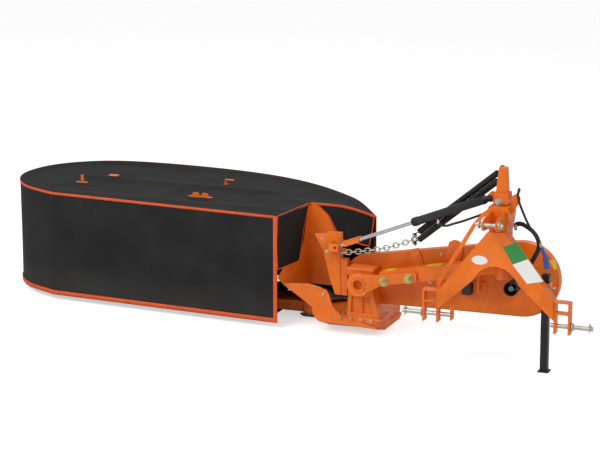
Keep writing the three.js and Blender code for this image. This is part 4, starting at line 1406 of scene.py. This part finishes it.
class MOWER_OT_stickers(bpy.types.Operator):
    """Lays the blank stickers on the headstock, the beam and the guard"""

    bl_idname = "mower.stickers"
    bl_label = "Stickers"

    def execute(self, context):
        film = 0.0006
        clear = 0.0002
        front = facing_front(box("headstock_frame")[0].y - HITCH.y - clear)
        green = ((0.044, 0.796), (0.133, 0.831), (0.204, 0.735), (0.108, 0.692))
        white = ((0.108, 0.691), (0.204, 0.734), (0.304, 0.603), (0.202, 0.580))
        round_plate = [(x - 0.100, y + 0.700) for x, y in oval(0.101, 0.055)]
        for name, outline, finish_name in (
            ("leg_sticker_upper", green, "green_film"),
            ("leg_sticker_lower", white, "white_film"),
            ("oval_sticker", round_plate, "white_film"),
        ):
            mesh = plate(name, outline, film, front)
            show(name, mesh, finish_name, "headstock", smooth=False)
        rise = 0.2
        for number, (x, width) in enumerate(((-0.548, 0.106), (-0.842, 0.066)), 1):
            spot = from_hitch(x, 0.449, 0.4946 + (x + 0.640) * rise)
            place = Matrix.Translation(spot) @ Matrix.Rotation(-math.atan(rise), 4, "Y")
            name = f"beam_sticker_{number}"
            mesh = plate(name, rounded(width, 0.074, 0.004), film, place)
            show(name, mesh, "yellow_film", "carrier", smooth=False)
        guard = facing_front(box("belt_guard_plate")[0].y - HITCH.y - clear)
        corners = ((0.176, 0.586), (0.214, 0.597), (0.230, 0.534), (0.209, 0.525))
        mesh = plate("guard_sticker", corners, film, guard)
        show("guard_sticker", mesh, "yellow_film", "carrier", smooth=False)
        return {"FINISHED"}


class MOWER_OT_pin_heads(bpy.types.Operator):
    """Puts collars, heads and spring pins on the hitch pins"""

    bl_idname = "mower.pin_heads"
    bl_label = "Pin heads"

    def execute(self, context):
        rings = []
        # Distances along the collar, and its radius there as a share of the pin's.
        collar = ((0.0, 1.05), (0.0, 1.75), (0.006, 1.85), (0.012, 1.75), (0.013, 1.05))
        collar_in, keeper_in, disc_in = 0.134, 0.020, 0.030
        ring_gap, bend = 0.011, 0.004
        for node, side in (("lower_pin_left", -1), ("lower_pin_right", 1)):
            low, high = box(node)
            way = Vector((side, 0, 0))
            tip = middle(node)
            tip.x = low.x if side < 0 else high.x
            r = (high.z - low.z) / 2
            profile = [(along, r * grow) for along, grow in collar]
            rings.append(turned("collar", profile, tip - way * collar_in, way, 32))
            neck = tip - way * keeper_in
            keeper = []
            for a in whole_turn():
                bow = (r + ring_gap) * Vector((0.0, math.cos(a), math.sin(a)))
                keeper.append(neck + bow + Vector((bend * math.cos(2 * a), 0.0, 0.0)))
            rings.append(hose_maker().run(path_object(keeper), "zinc", Radius=0.0024, Sides=8))
            head = [(0.0, 0.0045), (0.004, 0.008), (0.014, 0.008), (0.018, 0.0045)]
            rings.append(turned("peg", head, neck + Vector((0, 0, r - 0.002)), UP, 16))
        low, high = box("top_link_pin")
        centre = middle("top_link_pin")
        disc = ((0.0, 0.0125), (0.0, 0.024), (0.005, 0.026), (0.010, 0.024), (0.011, 0.0125))
        for tip, side in ((low.x, -1), (high.x, 1)):
            start = Vector((tip - side * disc_in, centre.y, centre.z))
            rings.append(turned("disc", disc, start, Vector((side, 0, 0)), 32))
        show("pin_heads", joined("pin_heads", rings), "zinc", "headstock")
        cap_width = 0.047
        clear = 0.0003
        leg_top = middle("stand_leg")
        leg_top.z = box("stand_leg")[1].z + clear
        outline = rounded(cap_width, cap_width, 0.008)
        cap = plate("stand_cap", outline, 0.008, Matrix.Translation(leg_top), bevel=0.003)
        show("stand_cap", cap, "black_rubber", "stand")
        return {"FINISHED"}


# ------------------------------------------------------------------ stage


FLOOR_WIDTH = 60.0


class MOWER_OT_stage(bpy.types.Operator):
    """Sets the floor, the light and the camera"""

    bl_idname = "mower.stage"
    bl_label = "Stage"

    def execute(self, context):
        sizes = context.scene.mower_stage
        scene = context.scene
        scene.view_settings.view_transform = "Standard"
        self.floor(sizes.sides)
        self.light(scene, sizes.light)
        self.camera(scene, sizes)
        return {"FINISHED"}

    def floor(self, sides):
        """A white disc that the machine stands on."""
        vertices = [(x, y, -0.001) for x, y in oval(FLOOR_WIDTH, FLOOR_WIDTH, sides)]
        mesh = bpy.data.meshes.new("floor")
        mesh.from_pydata(vertices, [], [tuple(range(sides))])
        ground = bpy.data.objects.new("floor", mesh)
        bpy.context.scene.collection.objects.link(ground)
        material, graph, shader = finish("floor", (0.82, 0.82, 0.82, 1.0), 0.9)
        seen = graph.add("ShaderNodeLightPath", out="Is Camera Ray")
        glow = graph.add("ShaderNodeEmission", {"Color": (1.0, 1.0, 1.0, 1.0), "Strength": 0.56})
        clear = graph.add("ShaderNodeEmission", {"Color": (0.0, 0.0, 0.0, 1.0), "Strength": 0.0})
        extra = graph.add("ShaderNodeMixShader", [seen, clear, glow])
        body = Signal(graph, shader.outputs[0])
        both = graph.add("ShaderNodeAddShader", [body, extra])
        graph.feed(graph.tree.nodes["Material Output"].inputs["Surface"], both)
        mesh.materials.append(material)

    def light(self, scene, strength):
        """A soft sky with a large key lamp, a fill and a rim."""
        world = bpy.data.worlds.new("studio")
        scene.world = world
        world.use_nodes = True
        graph = Graph(world.node_tree)
        ground = world.node_tree.nodes["Background"]
        ground.inputs["Color"].default_value = (1.0, 1.0, 1.0, 1.0)
        path = graph.tree.nodes.new("ShaderNodeLightPath")
        seen = Signal(graph, path.outputs["Is Camera Ray"])
        glossy = Signal(graph, path.outputs["Is Glossy Ray"])
        lit = 0.46
        level = (lit + (1 - lit) * seen + 0.10 * glossy).clamped()
        graph.feed(ground.inputs["Strength"], level)
        for name, place, size, power in (
            ("key", (-3.0, -6.0, 6.5), 5.0, 400.0),
            ("fill", (7.0, -5.0, 3.5), 5.0, 110.0),
            ("rim", (2.0, 6.0, 5.5), 4.0, 110.0),
        ):
            lamp = bpy.data.lights.new(name, "AREA")
            lamp.size = size
            lamp.energy = power * strength
            holder = bpy.data.objects.new(name, lamp)
            scene.collection.objects.link(holder)
            holder.location = place
            holder.rotation_euler = (-Vector(place)).to_track_quat("-Z", "Y").to_euler()

    def camera(self, scene, sizes):
        """The camera, aimed from the hitch."""
        aim = from_hitch(-1.488, 0.500, 0.685)
        a, e = sizes.azimuth, sizes.elevation
        back = Vector((math.sin(a) * math.cos(e), -math.cos(a) * math.cos(e), math.sin(e)))
        data = bpy.data.cameras.new("camera")
        data.lens = sizes.lens
        data.sensor_width = 36.0
        data.clip_end = 200.0
        holder = bpy.data.objects.new("camera", data)
        holder.location = aim + back * sizes.distance
        holder.rotation_euler = (-back).to_track_quat("-Z", "Y").to_euler()
        scene.collection.objects.link(holder)
        scene.camera = holder


# ------------------------------------------------------------------ panel and run

STEPS = (
    MOWER_OT_finishes,
    MOWER_OT_stage,
    MOWER_OT_curtain,
    MOWER_OT_cover_top,
    MOWER_OT_binding,
    MOWER_OT_side_cloths,
    MOWER_OT_stickers,
    MOWER_OT_pin_heads,
    MOWER_OT_springs,
    MOWER_OT_cylinder_trim,
    MOWER_OT_chain,
    MOWER_OT_hoses,
    MOWER_OT_bolts,
)
SETTINGS = {
    "mower_colours": MowerColours,
    "mower_cover": MowerCover,
    "mower_springs": MowerSprings,
    "mower_hoses": MowerHoses,
    "mower_stage": MowerStage,
}


class MOWER_PT_panel(bpy.types.Panel):
    """Lists the steps that build the mower"""

    bl_idname = "MOWER_PT_panel"
    bl_label = "Disc mower"
    bl_space_type = "VIEW_3D"
    bl_region_type = "UI"
    bl_category = "Disc mower"

    def draw(self, context):
        for step in STEPS:
            self.layout.operator(step.bl_idname)
        for name, group in SETTINGS.items():
            box_layout = self.layout.box()
            for label in group.__annotations__:
                box_layout.prop(getattr(context.scene, name), label)


def register():
    """Registers the settings, the steps and the panel."""
    for group in SETTINGS.values():
        bpy.utils.register_class(group)
    for name, group in SETTINGS.items():
        setattr(bpy.types.Scene, name, PointerProperty(type=group))
    for step in STEPS:
        bpy.utils.register_class(step)
    bpy.utils.register_class(MOWER_PT_panel)


def unregister():
    """Takes the settings, the steps and the panel out again."""
    bpy.utils.unregister_class(MOWER_PT_panel)
    for step in reversed(STEPS):
        bpy.utils.unregister_class(step)
    for name in SETTINGS:
        delattr(bpy.types.Scene, name)
    for group in SETTINGS.values():
        bpy.utils.unregister_class(group)


def main():
    """Runs every step in order."""
    register()
    for step in STEPS:
        category, name = step.bl_idname.split(".")
        getattr(getattr(bpy.ops, category), name)()


if __name__ == "__main__":
    main()
